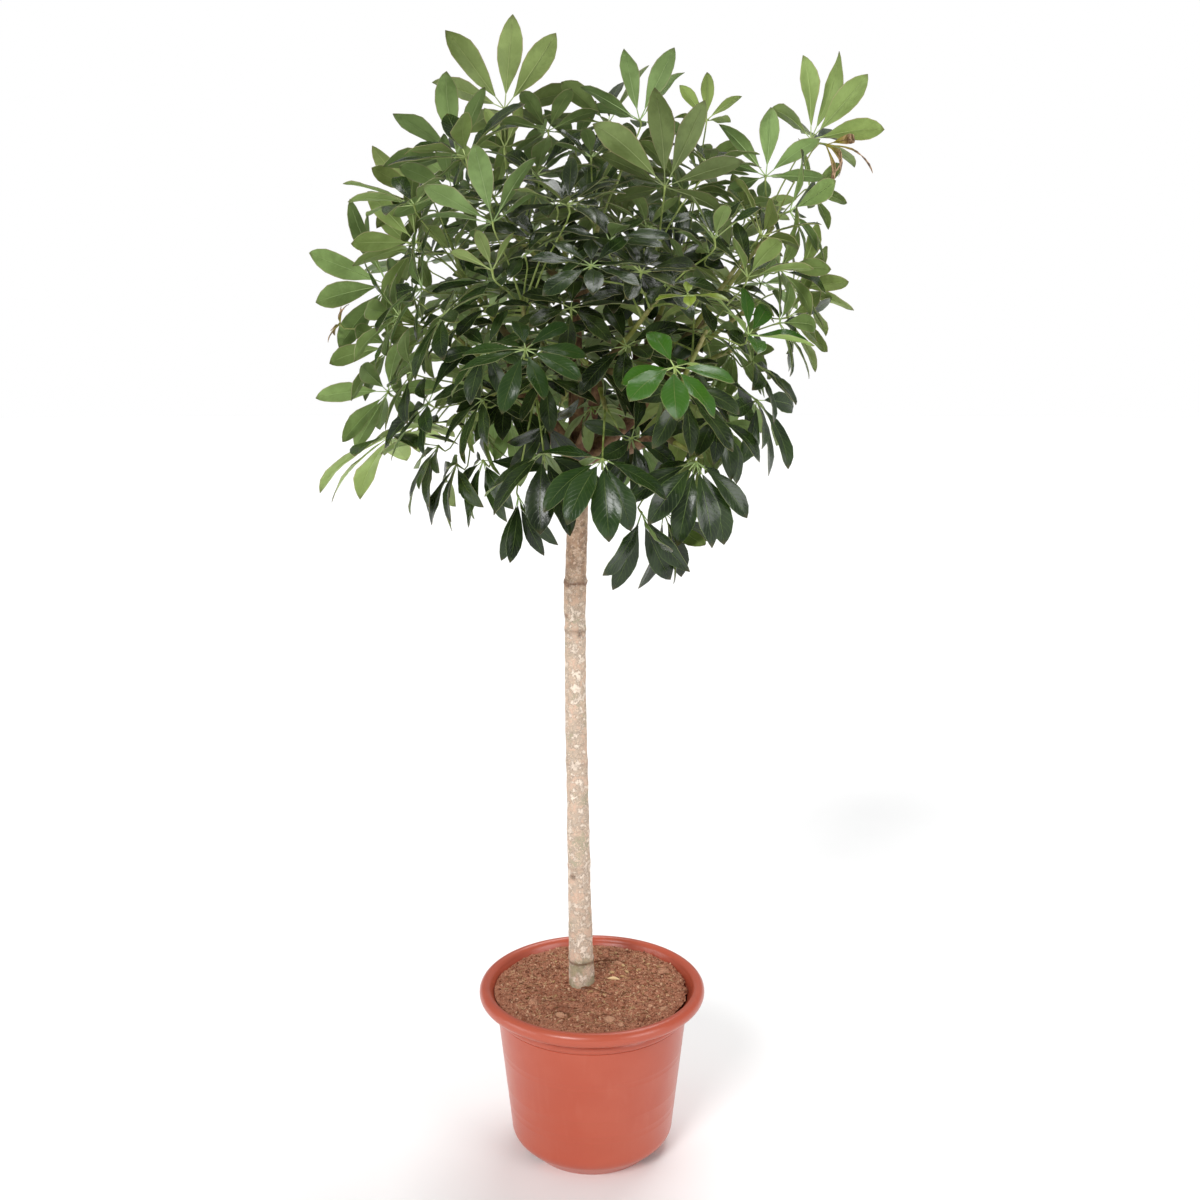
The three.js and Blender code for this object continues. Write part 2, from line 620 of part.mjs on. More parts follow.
function soil() {
  const inside = (z) => wallRadius(z) - POT.wall - GAP;
  const corner = 24 - POT.wall - GAP;
  const profile = [
    new THREE.Vector2(0, POT.floorTop + GAP),
    new THREE.Vector2(POT.footOuter - 16, POT.floorTop + GAP),
    ...arc(wallRadius(POT.cornerTop) - 24, POT.cornerTop - 2, corner - 2, -64, -4, 2),
    new THREE.Vector2(inside(60) - 0.6, 60),
    new THREE.Vector2(inside(258) - 1, 258),
    new THREE.Vector2(SOIL.edge, SOIL.top - 2.4),
    new THREE.Vector2(SOIL.edge - 8, SOIL.top),
    new THREE.Vector2(SOIL.edge - 48, SOIL.top + 2),
    new THREE.Vector2(SOIL.edge - 92, SOIL.top + 4),
    new THREE.Vector2(34, SOIL.top + SOIL.crown - 1),
    new THREE.Vector2(0, SOIL.top + SOIL.crown),
  ];
  // The hole is as the trunk's buried end, a clearance wider and deeper.
  const [end, ...rest] = trunkPoints.slice(0, 5);
  const down = [vec(end.x, end.y, end.z - GAP), ...rest];
  const hole = solidOf(taperedLimb(down, trunkRadii.slice(0, 5).map((r) => r + GAP), TRUNK.sides));
  return solidOf(turned(profile, SOIL.sides)).subtract(hole);
}

// ---- The assembly -------------------------------------------------------------------------------

const finish = (color, roughness) => new THREE.MeshStandardMaterial({ color, roughness, metalness: 0 });
const materials = {
  pot: finish(0xc4694f, 0.5),
  soil: finish(0x6f4a37, 1),
  wood: finish(0xb3a183, 0.85),
  leaf: finish(0x3e6a34, 0.4),
};

const plant = new THREE.Group();
function place(name, solid, material) {
  const mesh = new THREE.Mesh(geometryOf(solid), material);
  mesh.name = name;
  plant.add(mesh);
}
place("pot", pot(), materials.pot);
place("soil", soil(), materials.soil);
place("trunk_and_limbs", trunkAndLimbs(), materials.wood);
for (const stem of stems) place(stem.name, leafyStem(stem), materials.leaf);

export default plant;
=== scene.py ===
"""The looks of a potted umbrella plant: a nursery pot, potting soil, a bare trunk with its limbs, and a
round crown of leafy stems whose leaves are rings of leaflets on long stalks.

Metres, +Z up, -Y to the front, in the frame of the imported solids. The crown is planned in millimetres.
"""

import math
import random

import bmesh
import bpy
import numpy as np
from mathutils import Matrix, Vector, noise


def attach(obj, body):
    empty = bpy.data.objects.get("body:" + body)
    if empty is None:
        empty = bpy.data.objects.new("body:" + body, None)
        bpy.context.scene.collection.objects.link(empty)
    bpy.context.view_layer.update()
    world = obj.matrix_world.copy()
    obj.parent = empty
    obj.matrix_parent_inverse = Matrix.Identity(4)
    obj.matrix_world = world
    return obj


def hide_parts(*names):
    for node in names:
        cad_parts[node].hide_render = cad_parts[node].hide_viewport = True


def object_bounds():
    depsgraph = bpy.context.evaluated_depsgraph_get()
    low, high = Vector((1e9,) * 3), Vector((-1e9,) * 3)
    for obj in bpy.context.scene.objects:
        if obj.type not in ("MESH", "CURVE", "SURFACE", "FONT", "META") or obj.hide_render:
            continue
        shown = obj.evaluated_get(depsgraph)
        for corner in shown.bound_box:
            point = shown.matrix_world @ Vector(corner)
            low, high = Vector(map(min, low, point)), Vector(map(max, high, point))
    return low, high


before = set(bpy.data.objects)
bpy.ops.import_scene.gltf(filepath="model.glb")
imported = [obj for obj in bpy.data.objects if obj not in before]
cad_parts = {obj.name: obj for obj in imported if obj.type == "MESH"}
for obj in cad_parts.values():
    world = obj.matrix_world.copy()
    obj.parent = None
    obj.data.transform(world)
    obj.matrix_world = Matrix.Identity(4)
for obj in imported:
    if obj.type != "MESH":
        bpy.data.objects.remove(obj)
solid_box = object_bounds()
MM = 0.001
FULL_TURN = 2 * math.pi

# ---- The camera, the floor and the light --------------------------------------------------------

EYE = (0.0128, -1.909, 1.209)
LOOKS_DOWN = 9.365  # degrees
SENSOR = 36.0
LENS = 38.04
FLOOR_RADIUS, FLOOR_SIDES = 60, 96
SKY_LEVEL = 0.35  # how much light the white surroundings give, where 1 is what the camera sees
LIGHTS = {  # where each comes from, its power, and how many degrees it spans
    "key_light": ((-0.5, -1, 0.8), 1.5, 18),
    "fill_light": ((1, -0.8, 0.4), 1.0, 30),
    "side_light": ((-1, -0.3, 0.1), 1.0, 36),
    "top_light": ((0.15, 0.35, 1), 1.6, 36),
}


def set_camera():
    lens = bpy.data.cameras.new("camera")
    lens.sensor_width, lens.lens = SENSOR, LENS
    camera = bpy.data.objects.new("camera", lens)
    camera.location = EYE
    camera.rotation_euler = (math.radians(90 - LOOKS_DOWN), 0, 0)
    bpy.context.scene.collection.objects.link(camera)
    bpy.context.scene.camera = camera


def lay_floor():
    bm = bmesh.new()
    bmesh.ops.create_circle(bm, cap_ends=True, segments=FLOOR_SIDES, radius=FLOOR_RADIUS)
    floor = new_piece("floor", bm, pale_floor())


def soft_light(name, comes_from, power, spans):
    """A wide soft light from far away, so that the floor is lit evenly."""
    light = bpy.data.lights.new(name, "SUN")
    light.energy, light.angle = power, math.radians(spans)
    lamp = bpy.data.objects.new(name, light)
    lamp.rotation_euler = (-Vector(comes_from)).to_track_quat("-Z", "Y").to_euler()
    bpy.context.scene.collection.objects.link(lamp)


def set_light():
    for name, (comes_from, power, spans) in LIGHTS.items():
        soft_light(name, comes_from, power, spans)
    world = bpy.data.worlds.new("studio")
    world.use_nodes = True
    bpy.context.scene.world = world
    tree = Tree(world.node_tree)
    seen = tree.add("ShaderNodeLightPath").outputs["Is Camera Ray"]
    background = world.node_tree.nodes["Background"].inputs
    tree.link(tree.math("MULTIPLY_ADD", seen, 1 - SKY_LEVEL, SKY_LEVEL), background["Strength"])
    background["Color"].default_value = (1, 1, 1, 1)
    bpy.context.scene.view_settings.view_transform = "Standard"


# ---- Small tools for materials ------------------------------------------------------------------


class Tree:
    """A node tree, with short ways to add and join nodes. A value may be a number or a socket."""

    def __init__(self, nodes):
        self.nodes = nodes

    def add(self, kind, **settings):
        node = self.nodes.nodes.new(kind)
        for name, value in settings.items():
            setattr(node, name, value)
        return node

    def link(self, value, socket):
        if isinstance(value, bpy.types.NodeSocket):
            self.nodes.links.new(value, socket)
        else:
            socket.default_value = value

    def math(self, operation, *values):
        node = self.add("ShaderNodeMath", operation=operation)
        for value, socket in zip(values, node.inputs):
            self.link(value, socket)
        return node.outputs[0]

    def times(self, first, second):
        return self.math("MULTIPLY", first, second)

    def rest(self, share):
        """What is left of 1."""
        return self.math("SUBTRACT", 1.0, share)

    def mix(self, share, first, second):
        node = self.add("ShaderNodeMix", data_type="RGBA")
        self.link(share, node.inputs[0])
        self.link(first, node.inputs[6])
        self.link(second, node.inputs[7])
        return node.outputs[2]

    def paint(self, color, paint, where, share):
        """A colour with a paint laid over it where a mask is 1, at the given share."""
        return self.mix(self.times(where, share), color, paint)

    def ramp(self, value, low, high):
        """From 0 where the value is low to 1 where it is high, with a smooth start and end."""
        node = self.add("ShaderNodeMapRange", interpolation_type="SMOOTHSTEP")
        for name, given in (("Value", value), ("From Min", low), ("From Max", high)):
            self.link(given, node.inputs[name])
        return node.outputs[0]

    def noise(self, place, scale, detail=4.0, roughness=0.55):
        node = self.add("ShaderNodeTexNoise")
        settings = (("Vector", place), ("Scale", scale), ("Detail", detail), ("Roughness", roughness))
        for name, given in settings:
            self.link(given, node.inputs[name])
        return node.outputs[0]

    def patches(self, place, low, high, *noise):
        """A mask of ragged patches, where a noise rises from a low to a high level."""
        return self.ramp(self.noise(place, *noise), low, high)

    def parts(self, vector):
        node = self.add("ShaderNodeSeparateXYZ")
        self.link(vector, node.inputs[0])
        return node.outputs

    def place(self):
        return self.add("ShaderNodeTexCoord").outputs["Object"]

    def attribute(self, name):
        return self.add("ShaderNodeAttribute", attribute_name=name).outputs["Fac"]

    def group(self, group, **values):
        node = self.add("ShaderNodeGroup", node_tree=group)
        for name, value in values.items():
            self.link(value, node.inputs[name.capitalize()])
        return node.outputs


def new_group(name, inputs, outputs):
    """A shader node group with these sockets, its tree, and its inner input and output nodes."""
    group = bpy.data.node_groups.new(name, "ShaderNodeTree")
    for title, kind, value in inputs:
        socket = group.interface.new_socket(title, in_out="INPUT", socket_type="NodeSocket" + kind)
        if value is not None:
            socket.default_value = value
    for title, kind in outputs:
        group.interface.new_socket(title, in_out="OUTPUT", socket_type="NodeSocket" + kind)
    tree = Tree(group)
    return group, tree, tree.add("NodeGroupInput").outputs, tree.add("NodeGroupOutput").inputs


def new_material(name, roughness=None, specular=0.5):
    material = bpy.data.materials.new(name)
    material.use_nodes = True
    tree = Tree(material.node_tree)
    surface = material.node_tree.nodes["Principled BSDF"].inputs
    if roughness is not None:
        surface["Roughness"].default_value = roughness
    surface["Specular IOR Level"].default_value = specular
    return material, tree, surface


def mottle_group():
    """Two colours in soft patches."""
    sockets = [
        ("Place", "Vector", None), ("Scale", "Float", 20.0), ("First", "Color", None),
        ("Second", "Color", None), ("From", "Float", 0.4), ("To", "Float", 0.6),
    ]
    group, tree, given, made = new_group("mottle", sockets, [("Color", "Color")])
    mask = tree.patches(given["Place"], given["From"], given["To"], given["Scale"], 6.0, 0.6)
    tree.link(tree.mix(mask, given["First"], given["Second"]), made["Color"])
    return group


def grain_group():
    """A fine grain as a normal, on top of a height that the material gives."""
    sockets = [
        ("Place", "Vector", None), ("Scale", "Float", 500.0), ("Depth", "Float", 0.0002),
        ("Height", "Float", 0.0),
    ]
    group, tree, given, made = new_group("grain", sockets, [("Normal", "Vector")])
    fine = tree.times(tree.noise(given["Place"], given["Scale"], 3.0), given["Depth"])
    bump = tree.add("ShaderNodeBump")
    bump.inputs["Strength"].default_value = 1.0
    bump.inputs["Distance"].default_value = 1.0
    tree.link(tree.math("ADD", fine, given["Height"]), bump.inputs["Height"])
    tree.link(bump.outputs[0], made["Normal"])
    return group


MIDRIB_HALF, MIDRIB_NARROWS = 0.034, 0.022  # shares of the width, at the base and lost by the tip
VEIN_ROWS, VEIN_SLANT = 11.0, 5.0
VEIN_EDGES = (0.02, 0.10)  # shares of the way from one side vein to the next
MARGIN_EDGES = (0.455, 0.49)  # shares of the blade's width from its midrib


def veins_group():
    """The midrib, the side veins and the margin of a blade as masks, from its map (across, along)."""
    outputs = [("Midrib", "Float"), ("Veins", "Float"), ("Margin", "Float")]
    group, tree, given, made = new_group("veins", [("Place", "Vector", None)], outputs)
    across, along = tree.parts(given["Place"])[:2]
    aside = tree.math("ABSOLUTE", tree.math("SUBTRACT", across, 0.5))
    half = tree.math("MULTIPLY_ADD", along, -MIDRIB_NARROWS, MIDRIB_HALF)
    tree.link(tree.rest(tree.ramp(aside, tree.times(half, 0.5), half)), made["Midrib"])
    row = tree.math("MULTIPLY_ADD", along, VEIN_ROWS, tree.times(aside, -VEIN_SLANT))
    from_line = tree.math("PINGPONG", row, 0.5)
    tree.link(tree.rest(tree.ramp(from_line, *VEIN_EDGES)), made["Veins"])
    tree.link(tree.ramp(aside, *MARGIN_EDGES), made["Margin"])
    return group


MOTTLE, GRAIN, VEINS = mottle_group(), grain_group(), veins_group()


def tint(red, green, blue):
    """A colour given as it looks on a screen, from 0 to 255, as the light that it sends back."""
    shares = [c / 255 for c in (red, green, blue)]
    return (*[c / 12.92 if c <= 0.04045 else ((c + 0.055) / 1.055) ** 2.4 for c in shares], 1.0)


def mottled(tree, place, scale, first, second):
    return tree.group(MOTTLE, place=place, scale=scale, first=first, second=second)["Color"]


def set_grain(tree, surface, place, grain, height=0.0):
    scale, depth = grain
    fine = tree.group(GRAIN, place=place, scale=scale, depth=depth, height=height)
    tree.link(fine["Normal"], surface["Normal"])


# ---- The finishes -------------------------------------------------------------------------------
# A mottle has its scale, and a grain its scale and depth. A mask of patches has its low and high levels,
# then its noise's scale and, where they aren't the usual ones, its detail and roughness.

FLOOR_WHITE, FLOOR_PALER, FLOOR_MOTTLE = tint(249, 249, 249), tint(252, 252, 252), 0.8


def pale_floor():
    material, tree, surface = new_material("pale_floor", roughness=0.9, specular=0.1)
    tree.link(mottled(tree, tree.place(), FLOOR_MOTTLE, FLOOR_WHITE, FLOOR_PALER), surface["Base Color"])
    return material


UPPER_OLD, UPPER, UPPER_VEIN = tint(22, 32, 14), tint(40, 54, 24), tint(100, 118, 60)
BELOW_OLD, BELOW, BELOW_VEIN = tint(118, 138, 76), tint(134, 156, 90), tint(160, 178, 114)
YOUNG_UPPER, YOUNG_BELOW, SHOOT = tint(50, 88, 24), tint(156, 180, 96), tint(122, 138, 46)
STALK_GREEN, STALK_PALE = tint(112, 128, 58), tint(154, 168, 96)
BELOW_MARGIN, TIP_BROWN = tint(176, 156, 122), tint(84, 74, 44)
DRY, DRY_PALE, DRY_OLIVE = tint(98, 68, 34), tint(204, 168, 132), tint(150, 138, 52)
# The lines on each side of a blade: their paint, and how much of it shows.
UPPER_LINES = {"Veins": (UPPER_VEIN, 0.16), "Midrib": (UPPER_VEIN, 0.6), "Margin": (UPPER_VEIN, 0.4)}
BELOW_LINES = {"Veins": (BELOW_VEIN, 0.10), "Midrib": (BELOW_VEIN, 0.7), "Margin": (BELOW_MARGIN, 0.6)}
BRIGHTER = 0.36  # what a tone of 1 adds to a blade's brightness
OLIVE_ADDS = (0.06, -0.02, -0.11)  # what an olive mark of 1 adds to its red, green and blue
TIP_FROM, TIP_SHARE = 0.91, 0.6  # where a blade's brownish tip starts, and how brown it is
DRY_FROM, DRY_TO = 0.15, 0.6  # along a withered blade, whose base is still olive
GLOSSY, MATTER = 0.22, 0.28  # the roughness of the upper face, and what the rest has more
LEAF_SPECULAR, MIDRIB_DEPTH, VEIN_DEPTH, LEAF_GRAIN = 0.36, 0.0004, 0.00005, (240.0, 0.0002)
UPPER_MOTTLE, BELOW_MOTTLE, STALK_MOTTLE, DRY_MOTTLE = 26.0, 30.0, 60.0, 110.0
YOUNG_TO_SHOOT = (1.0, 1.5)


def blade_side(tree, blade_marks, scale, old, grown, fresh, lines):
    """One side of the blades: mottled, fresher where young, with its lines."""
    place, young, veins = blade_marks
    color = tree.mix(young, mottled(tree, place, scale, old, grown), fresh)
    color = tree.mix(tree.ramp(young, *YOUNG_TO_SHOOT), color, SHOOT)
    for name, (paint, share) in lines.items():
        color = tree.paint(color, paint, veins[name], share)
    return color


def leaf_shades(tree, color):
    """Each leaf a little darker or paler than the next, paler towards the sides as painted side light,
    and more or less olive.
    """
    tone, olive = tree.attribute("tone"), tree.attribute("olive")
    brightness = tree.math("MULTIPLY_ADD", tone, BRIGHTER, 1.0)
    shades = tree.add("ShaderNodeCombineXYZ")
    for more, socket in zip(OLIVE_ADDS, shades.inputs):
        tree.link(tree.times(brightness, tree.math("MULTIPLY_ADD", olive, more, 1.0)), socket)
    shaded = tree.add("ShaderNodeVectorMath", operation="MULTIPLY")
    tree.link(color, shaded.inputs[0])
    tree.link(shades.outputs[0], shaded.inputs[1])
    return shaded.outputs[0]


def leaf_finish():
    """Glossy dark green above, pale satin green below, and light green stalks."""
    material, tree, surface = new_material("leaf", specular=LEAF_SPECULAR)
    place = tree.place()
    blade = tree.add("ShaderNodeUVMap", uv_map="blade").outputs[0]
    under, stalk, young, withered = map(tree.attribute, ("under", "stalk", "young", "withered"))
    veins = tree.group(VEINS, place=blade)
    along = tree.parts(blade)[1]
    blade_marks = (place, young, veins)
    upper = blade_side(tree, blade_marks, UPPER_MOTTLE, UPPER_OLD, UPPER, YOUNG_UPPER, UPPER_LINES)
    below = blade_side(tree, blade_marks, BELOW_MOTTLE, BELOW_OLD, BELOW, YOUNG_BELOW, BELOW_LINES)
    color = tree.mix(under, upper, below)
    color = tree.paint(color, TIP_BROWN, tree.ramp(along, TIP_FROM, 1.0), TIP_SHARE)
    color = leaf_shades(tree, color)
    color = tree.mix(stalk, color, mottled(tree, place, STALK_MOTTLE, STALK_GREEN, STALK_PALE))
    dry = mottled(tree, place, DRY_MOTTLE, DRY, DRY_PALE)
    dry = tree.mix(tree.ramp(along, DRY_FROM, DRY_TO), DRY_OLIVE, dry)
    tree.link(tree.mix(withered, color, dry), surface["Base Color"])
    matt = tree.math("MAXIMUM", tree.math("MAXIMUM", under, stalk), withered)
    tree.link(tree.math("MULTIPLY_ADD", matt, MATTER, GLOSSY), surface["Roughness"])
    side_veins = tree.times(veins["Veins"], VEIN_DEPTH)
    ridges = tree.math("MULTIPLY_ADD", veins["Midrib"], MIDRIB_DEPTH, side_veins)
    height = tree.times(ridges, tree.math("MULTIPLY_ADD", under, 0.8, -1.0))
    set_grain(tree, surface, place, LEAF_GRAIN, height)
    return material


GRAY_BARK, PINK_BARK, GREEN_BARK = tint(194, 175, 157), tint(216, 185, 163), tint(178, 168, 144)
CREAM_BARK, PALE_BARK = tint(228, 206, 184), tint(242, 224, 206)
RIM_BARK, DARK_BARK, DAMP_BARK = tint(158, 130, 106), tint(116, 88, 68), tint(164, 156, 124)
BROWN_BARK, TAN_BARK = tint(140, 104, 80), tint(192, 156, 130)
RED_BARK, RUST_BARK = tint(98, 68, 50), tint(146, 112, 84)
TWIG_GREEN, SCAR_BROWN = tint(98, 94, 54), tint(102, 66, 44)
DAMP_UP_TO, BROWN_FROM, RED_FROM = (0.31, 0.33), (0.92, 1.04), (1.13, 1.24)  # heights where bark changes
LARGE_FLAKES, SMALL_FLAKES, SKIN = (84.0, 7.0, 0.7), (210.0, 5.0, 0.68), (90.0, 6.0, 0.65)
BARK_MASKS = {
    "pink": (0.42, 0.58, 60.0), "green": (0.54, 0.64, 31.0, 5.0), "damp": (0.40, 0.56, 44.0, 5.0),
    "tan": (0.42, 0.6, 70.0, 6.0, 0.6), "rust": (0.4, 0.6, 60.0, 6.0),
    "specks": (0.61, 0.69, 210.0, 3.0, 0.6),
}
# The rims of the large and the small flakes: their level in the noise, half width and share.
LARGE_RIM, SMALL_RIM = (0.525, 0.012, 0.7), (0.535, 0.02, 0.5)
RAGGED, RAGGED_HEIGHT = 14.0, 0.16  # the scale and height of the uneven lines where the bark changes
FLAKE_DEPTH, CHIP_DEPTH, BARK_DEPTH, BARK_GRAIN = 0.0006, 0.0003, 0.0016, (700.0, 0.0004)


def bark_flakes(tree, place, large, small):
    """Ragged pale flakes on a mottled ground, with fine brown rims."""
    color = tree.mix(tree.patches(place, *BARK_MASKS["pink"]), GRAY_BARK, PINK_BARK)
    color = tree.mix(tree.patches(place, *BARK_MASKS["green"]), color, GREEN_BARK)
    color = tree.mix(tree.ramp(small, 0.51, 0.55), color, CREAM_BARK)
    color = tree.mix(tree.ramp(large, 0.52, 0.55), color, PALE_BARK)
    for flakes, (edge, width, share) in ((large, LARGE_RIM), (small, SMALL_RIM)):
        off = tree.math("ABSOLUTE", tree.math("SUBTRACT", flakes, edge))
        rim = tree.rest(tree.ramp(off, 0.2 * width, width))
        color = tree.paint(color, RIM_BARK, rim, share)
    return color


def bark_by_height(tree, place, small, color):
    """Greenish just above the soil, browner below the crown, and reddish inside it."""
    height = tree.parts(place)[2]
    damp = tree.patches(place, *BARK_MASKS["damp"])
    low = tree.times(tree.rest(tree.ramp(height, *DAMP_UP_TO)), damp)
    color = tree.paint(color, DAMP_BARK, low, 0.8)
    ragged = tree.math("ADD", height, tree.times(tree.noise(place, RAGGED), RAGGED_HEIGHT))
    brown = tree.mix(tree.patches(place, *BARK_MASKS["tan"]), BROWN_BARK, TAN_BARK)
    brown = tree.mix(tree.ramp(small, 0.54, 0.58), brown, PINK_BARK)
    color = tree.paint(color, brown, tree.ramp(ragged, *BROWN_FROM), 0.72)
    red = tree.mix(tree.patches(place, *BARK_MASKS["rust"]), RED_BARK, RUST_BARK)
    return tree.mix(tree.ramp(ragged, *RED_FROM), color, red)


def bark_finish():
    """Pinkish gray flaking bark with dark specks, scars, and green on the young twigs."""
    material, tree, surface = new_material("bark", specular=0.2)
    place = tree.place()
    large, small = tree.noise(place, *LARGE_FLAKES), tree.noise(place, *SMALL_FLAKES)
    specks = tree.patches(place, *BARK_MASKS["specks"])
    color = tree.paint(bark_flakes(tree, place, large, small), DARK_BARK, specks, 0.55)
    color = bark_by_height(tree, place, small, color)
    color = tree.mix(tree.attribute("green"), color, TWIG_GREEN)
    color = tree.paint(color, SCAR_BROWN, tree.attribute("scar"), 0.85)
    tree.link(color, surface["Base Color"])
    tree.link(tree.math("MULTIPLY_ADD", specks, 0.1, 0.74), surface["Roughness"])
    height = tree.times(tree.ramp(large, 0.52, 0.57), FLAKE_DEPTH)
    height = tree.math("MULTIPLY_ADD", tree.ramp(small, 0.51, 0.57), CHIP_DEPTH, height)
    height = tree.math("MULTIPLY_ADD", tree.noise(place, *SKIN), BARK_DEPTH, height)
    set_grain(tree, surface, place, BARK_GRAIN, height)
    return material


SOIL_DARK, SOIL_BROWN, SOIL = tint(96, 54, 38), tint(158, 98, 72), tint(192, 130, 102)
SOIL_LIGHT, SOIL_PALE = tint(226, 170, 140), tint(238, 196, 160)
# Of these masks, the one for pits is painted shade in the peat's small hollows.
SOIL_MASKS = {
    "light": (0.47, 0.66, 520.0, 5.0, 0.7), "pit_shade": (0.54, 0.70, 330.0, 6.0, 0.75),
    "damp": (0.50, 0.66, 26.0, 5.0, 0.65),
}
SOIL_MOTTLE, SOIL_SKIN, SOIL_DEPTH, SOIL_GRAIN = 150.0, (300.0, 6.0, 0.7), 0.004, (1100.0, 0.0012)
LITTER_BROWN, LITTER = tint(150, 112, 74), tint(196, 160, 112)
LITTER_PALE, LITTER_DARK = tint(228, 198, 150), tint(104, 62, 36)
LITTER_MOTTLE, LITTER_GRAIN = 110.0, (600.0, 0.0006)


def toned(tree, color, pale, dark):
    """Paler where the tone mark is above 0, and darker where it is below."""
    tone = tree.attribute("tone")
    color = tree.mix(tree.math("MAXIMUM", tone, 0.0), color, pale)
    return tree.mix(tree.math("MAXIMUM", tree.times(tone, -1.0), 0.0), color, dark)


def soil_finish():
    """Fibrous brown peat with lighter crumbs, painted shade in small pits, and damp patches."""
    material, tree, surface = new_material("potting_soil", roughness=0.95, specular=0.1)
    place = tree.place()
    light, pit_shade, damp = (tree.patches(place, *SOIL_MASKS[name]) for name in ("light", "pit_shade", "damp"))
    color = tree.mix(light, mottled(tree, place, SOIL_MOTTLE, SOIL_BROWN, SOIL), SOIL_LIGHT)
    # painted shade: small dark spots stand for the shade in the peat's pits
    color = tree.paint(color, SOIL_DARK, pit_shade, 0.35)
    color = tree.paint(color, SOIL_BROWN, damp, 0.5)
    tree.link(toned(tree, color, SOIL_PALE, SOIL_DARK), surface["Base Color"])
    set_grain(tree, surface, place, SOIL_GRAIN, tree.times(tree.noise(place, *SOIL_SKIN), SOIL_DEPTH))
    return material


def litter_finish():
    """Dry bits on the soil: bark chips, a seed leaf and thin roots."""
    material, tree, surface = new_material("litter", roughness=0.7, specular=0.3)
    place = tree.place()
    color = mottled(tree, place, LITTER_MOTTLE, LITTER_BROWN, LITTER)
    tree.link(toned(tree, color, LITTER_PALE, LITTER_DARK), surface["Base Color"])
    set_grain(tree, surface, place, LITTER_GRAIN)
    return material


POT, POT_WORN, POT_DUST = tint(177, 80, 57), tint(180, 85, 62), tint(206, 138, 114)
STREAKS_DOWN = (1.0, 1.0, 0.12)  # how the place is squeezed so that the streaks run down the wall
STREAKS, SCUFFS = (0.55, 0.75, 90.0, 3.0), (0.62, 0.75, 38.0, 8.0, 0.7)
STREAK_SHARE, SCUFF_SHARE, SATIN, SCUFFED = 0.04, 0.12, 0.28, 0.15  # the last is added to the roughness
POT_MOTTLE, POT_WAVES, POT_WAVINESS, POT_GRAIN = 7.0, (9.0, 2.0), 0.0012, (900.0, 0.00012)


def pot_finish():
    """Terracotta-coloured plastic with a satin skin, faint streaks and scuffs."""
    material, tree, surface = new_material("pot_plastic", specular=0.5)
    place = tree.place()
    squeezed = tree.add("ShaderNodeVectorMath", operation="MULTIPLY")
    tree.link(place, squeezed.inputs[0])
    squeezed.inputs[1].default_value = STREAKS_DOWN
    streaks = tree.patches(squeezed.outputs[0], *STREAKS)
    scuffs = tree.patches(place, *SCUFFS)
    color = mottled(tree, place, POT_MOTTLE, POT, POT_WORN)
    color = tree.paint(color, POT_DUST, streaks, STREAK_SHARE)
    tree.link(tree.paint(color, POT_DUST, scuffs, SCUFF_SHARE), surface["Base Color"])
    tree.link(tree.math("MULTIPLY_ADD", scuffs, SCUFFED, SATIN), surface["Roughness"])
    set_grain(tree, surface, place, POT_GRAIN, tree.times(tree.noise(place, *POT_WAVES), POT_WAVINESS))
    return material


# ---- The plan of the crown ----------------------------------------------------------------------
# The same rule as the solids grew by, in millimetres: where each leaf's hub, stalk and leaflets are.

GAP = 0.3
TRUNK_LINE = [
    # height, sideways, back, radius
    (110, -15, 0, 17),
    (190, -16, 0, 21.5),
    (262, -16, 0, 21.4),
    (300, -17, 0, 19.6),
    (430, -20, 1, 18),
    (577, -22, 2, 17),
    (720, -25, 1, 16.4),
    (900, -25, 0, 16),
    (922, -25, 0, 17.2),
    (940, -24, 0, 15.6),
    (1017, -21, 0, 15.6),
    (1120, -20, 0, 17),
    (1150, -20, 0, 13),
]
HEART = np.array([-8, 0, 1235.0])
CROWN_MIDDLE = np.array([-5, 0, 1345.0])
CROWN_REACH = np.array([310, 300, 262.0])
MOST_LEAN = math.radians(62)
GOLDEN_TURN = math.pi * (3 - math.sqrt(5))
TRUNK_HEAD = np.array([-20.0, 0.0, 1108.0])  # where the limbs part
LIMB_ENDS = np.array([
    (-22, 12, 1345), (-88, -62, 1245), (-112, 40, 1215), (-30, 105, 1225), (72, 78, 1240),
    (96, -20, 1225), (92, -128, 1150), (10, -98, 1230),
], float)
STEM_TIPS = np.array([
    (-92, -150, 1325), (95, -105, 1395), (-120, -15, 1440), (10, -30, 1440), (215, -55, 1395),
    (262, 10, 1440), (-190, -20, 1375), (-215, -15, 1300), (-200, -10, 1215), (-165, -80, 1185),
    (-75, -150, 1200), (-30, -190, 1270), (70, -190, 1240), (20, -170, 1185), (148, -165, 1122),
    (165, -80, 1215), (200, -30, 1265), (155, -150, 1285), (232, 20, 1330), (90, -190, 1330),
    (150, 110, 1440), (-50, 100, 1450), (-165, 100, 1350), (50, 160, 1380), (190, 120, 1320),
    (-85, 185, 1290), (45, 210, 1270), (160, 165, 1225), (-175, 125, 1220), (-50, 150, 1190),
    (85, 120, 1180),
], float)
LIMB_RADII, TWIG_RADII, STEM_RADII = [12, 9.5, 7.5], [6, 5], [4.6, 3.6]
STEM_STARTS = 0.42  # the share of the way from a limb's end to a stem's tip where the twig turns green
FEWEST_LEAFLETS = 3
SHORTER_BACK = 0.13  # how much shorter a leaflet is that points back along its stalk
WIDEST_AT, WIDTH_SHARE, ROOM = 0.62, 0.3, 3.2
HUB_ROOM = 3.8
CROWN_FOOT, CROWN_TALL = 1080, 500
CUP_LOW, CUP_HIGH, HANG_LOW, HANG_HIGH = 84, 60, 0.8, 0.06  # at the foot of the crown and at its top
DROOP_LEAST, DROOP_MOST = 0.09, 0.24  # shares of a leaflet's length
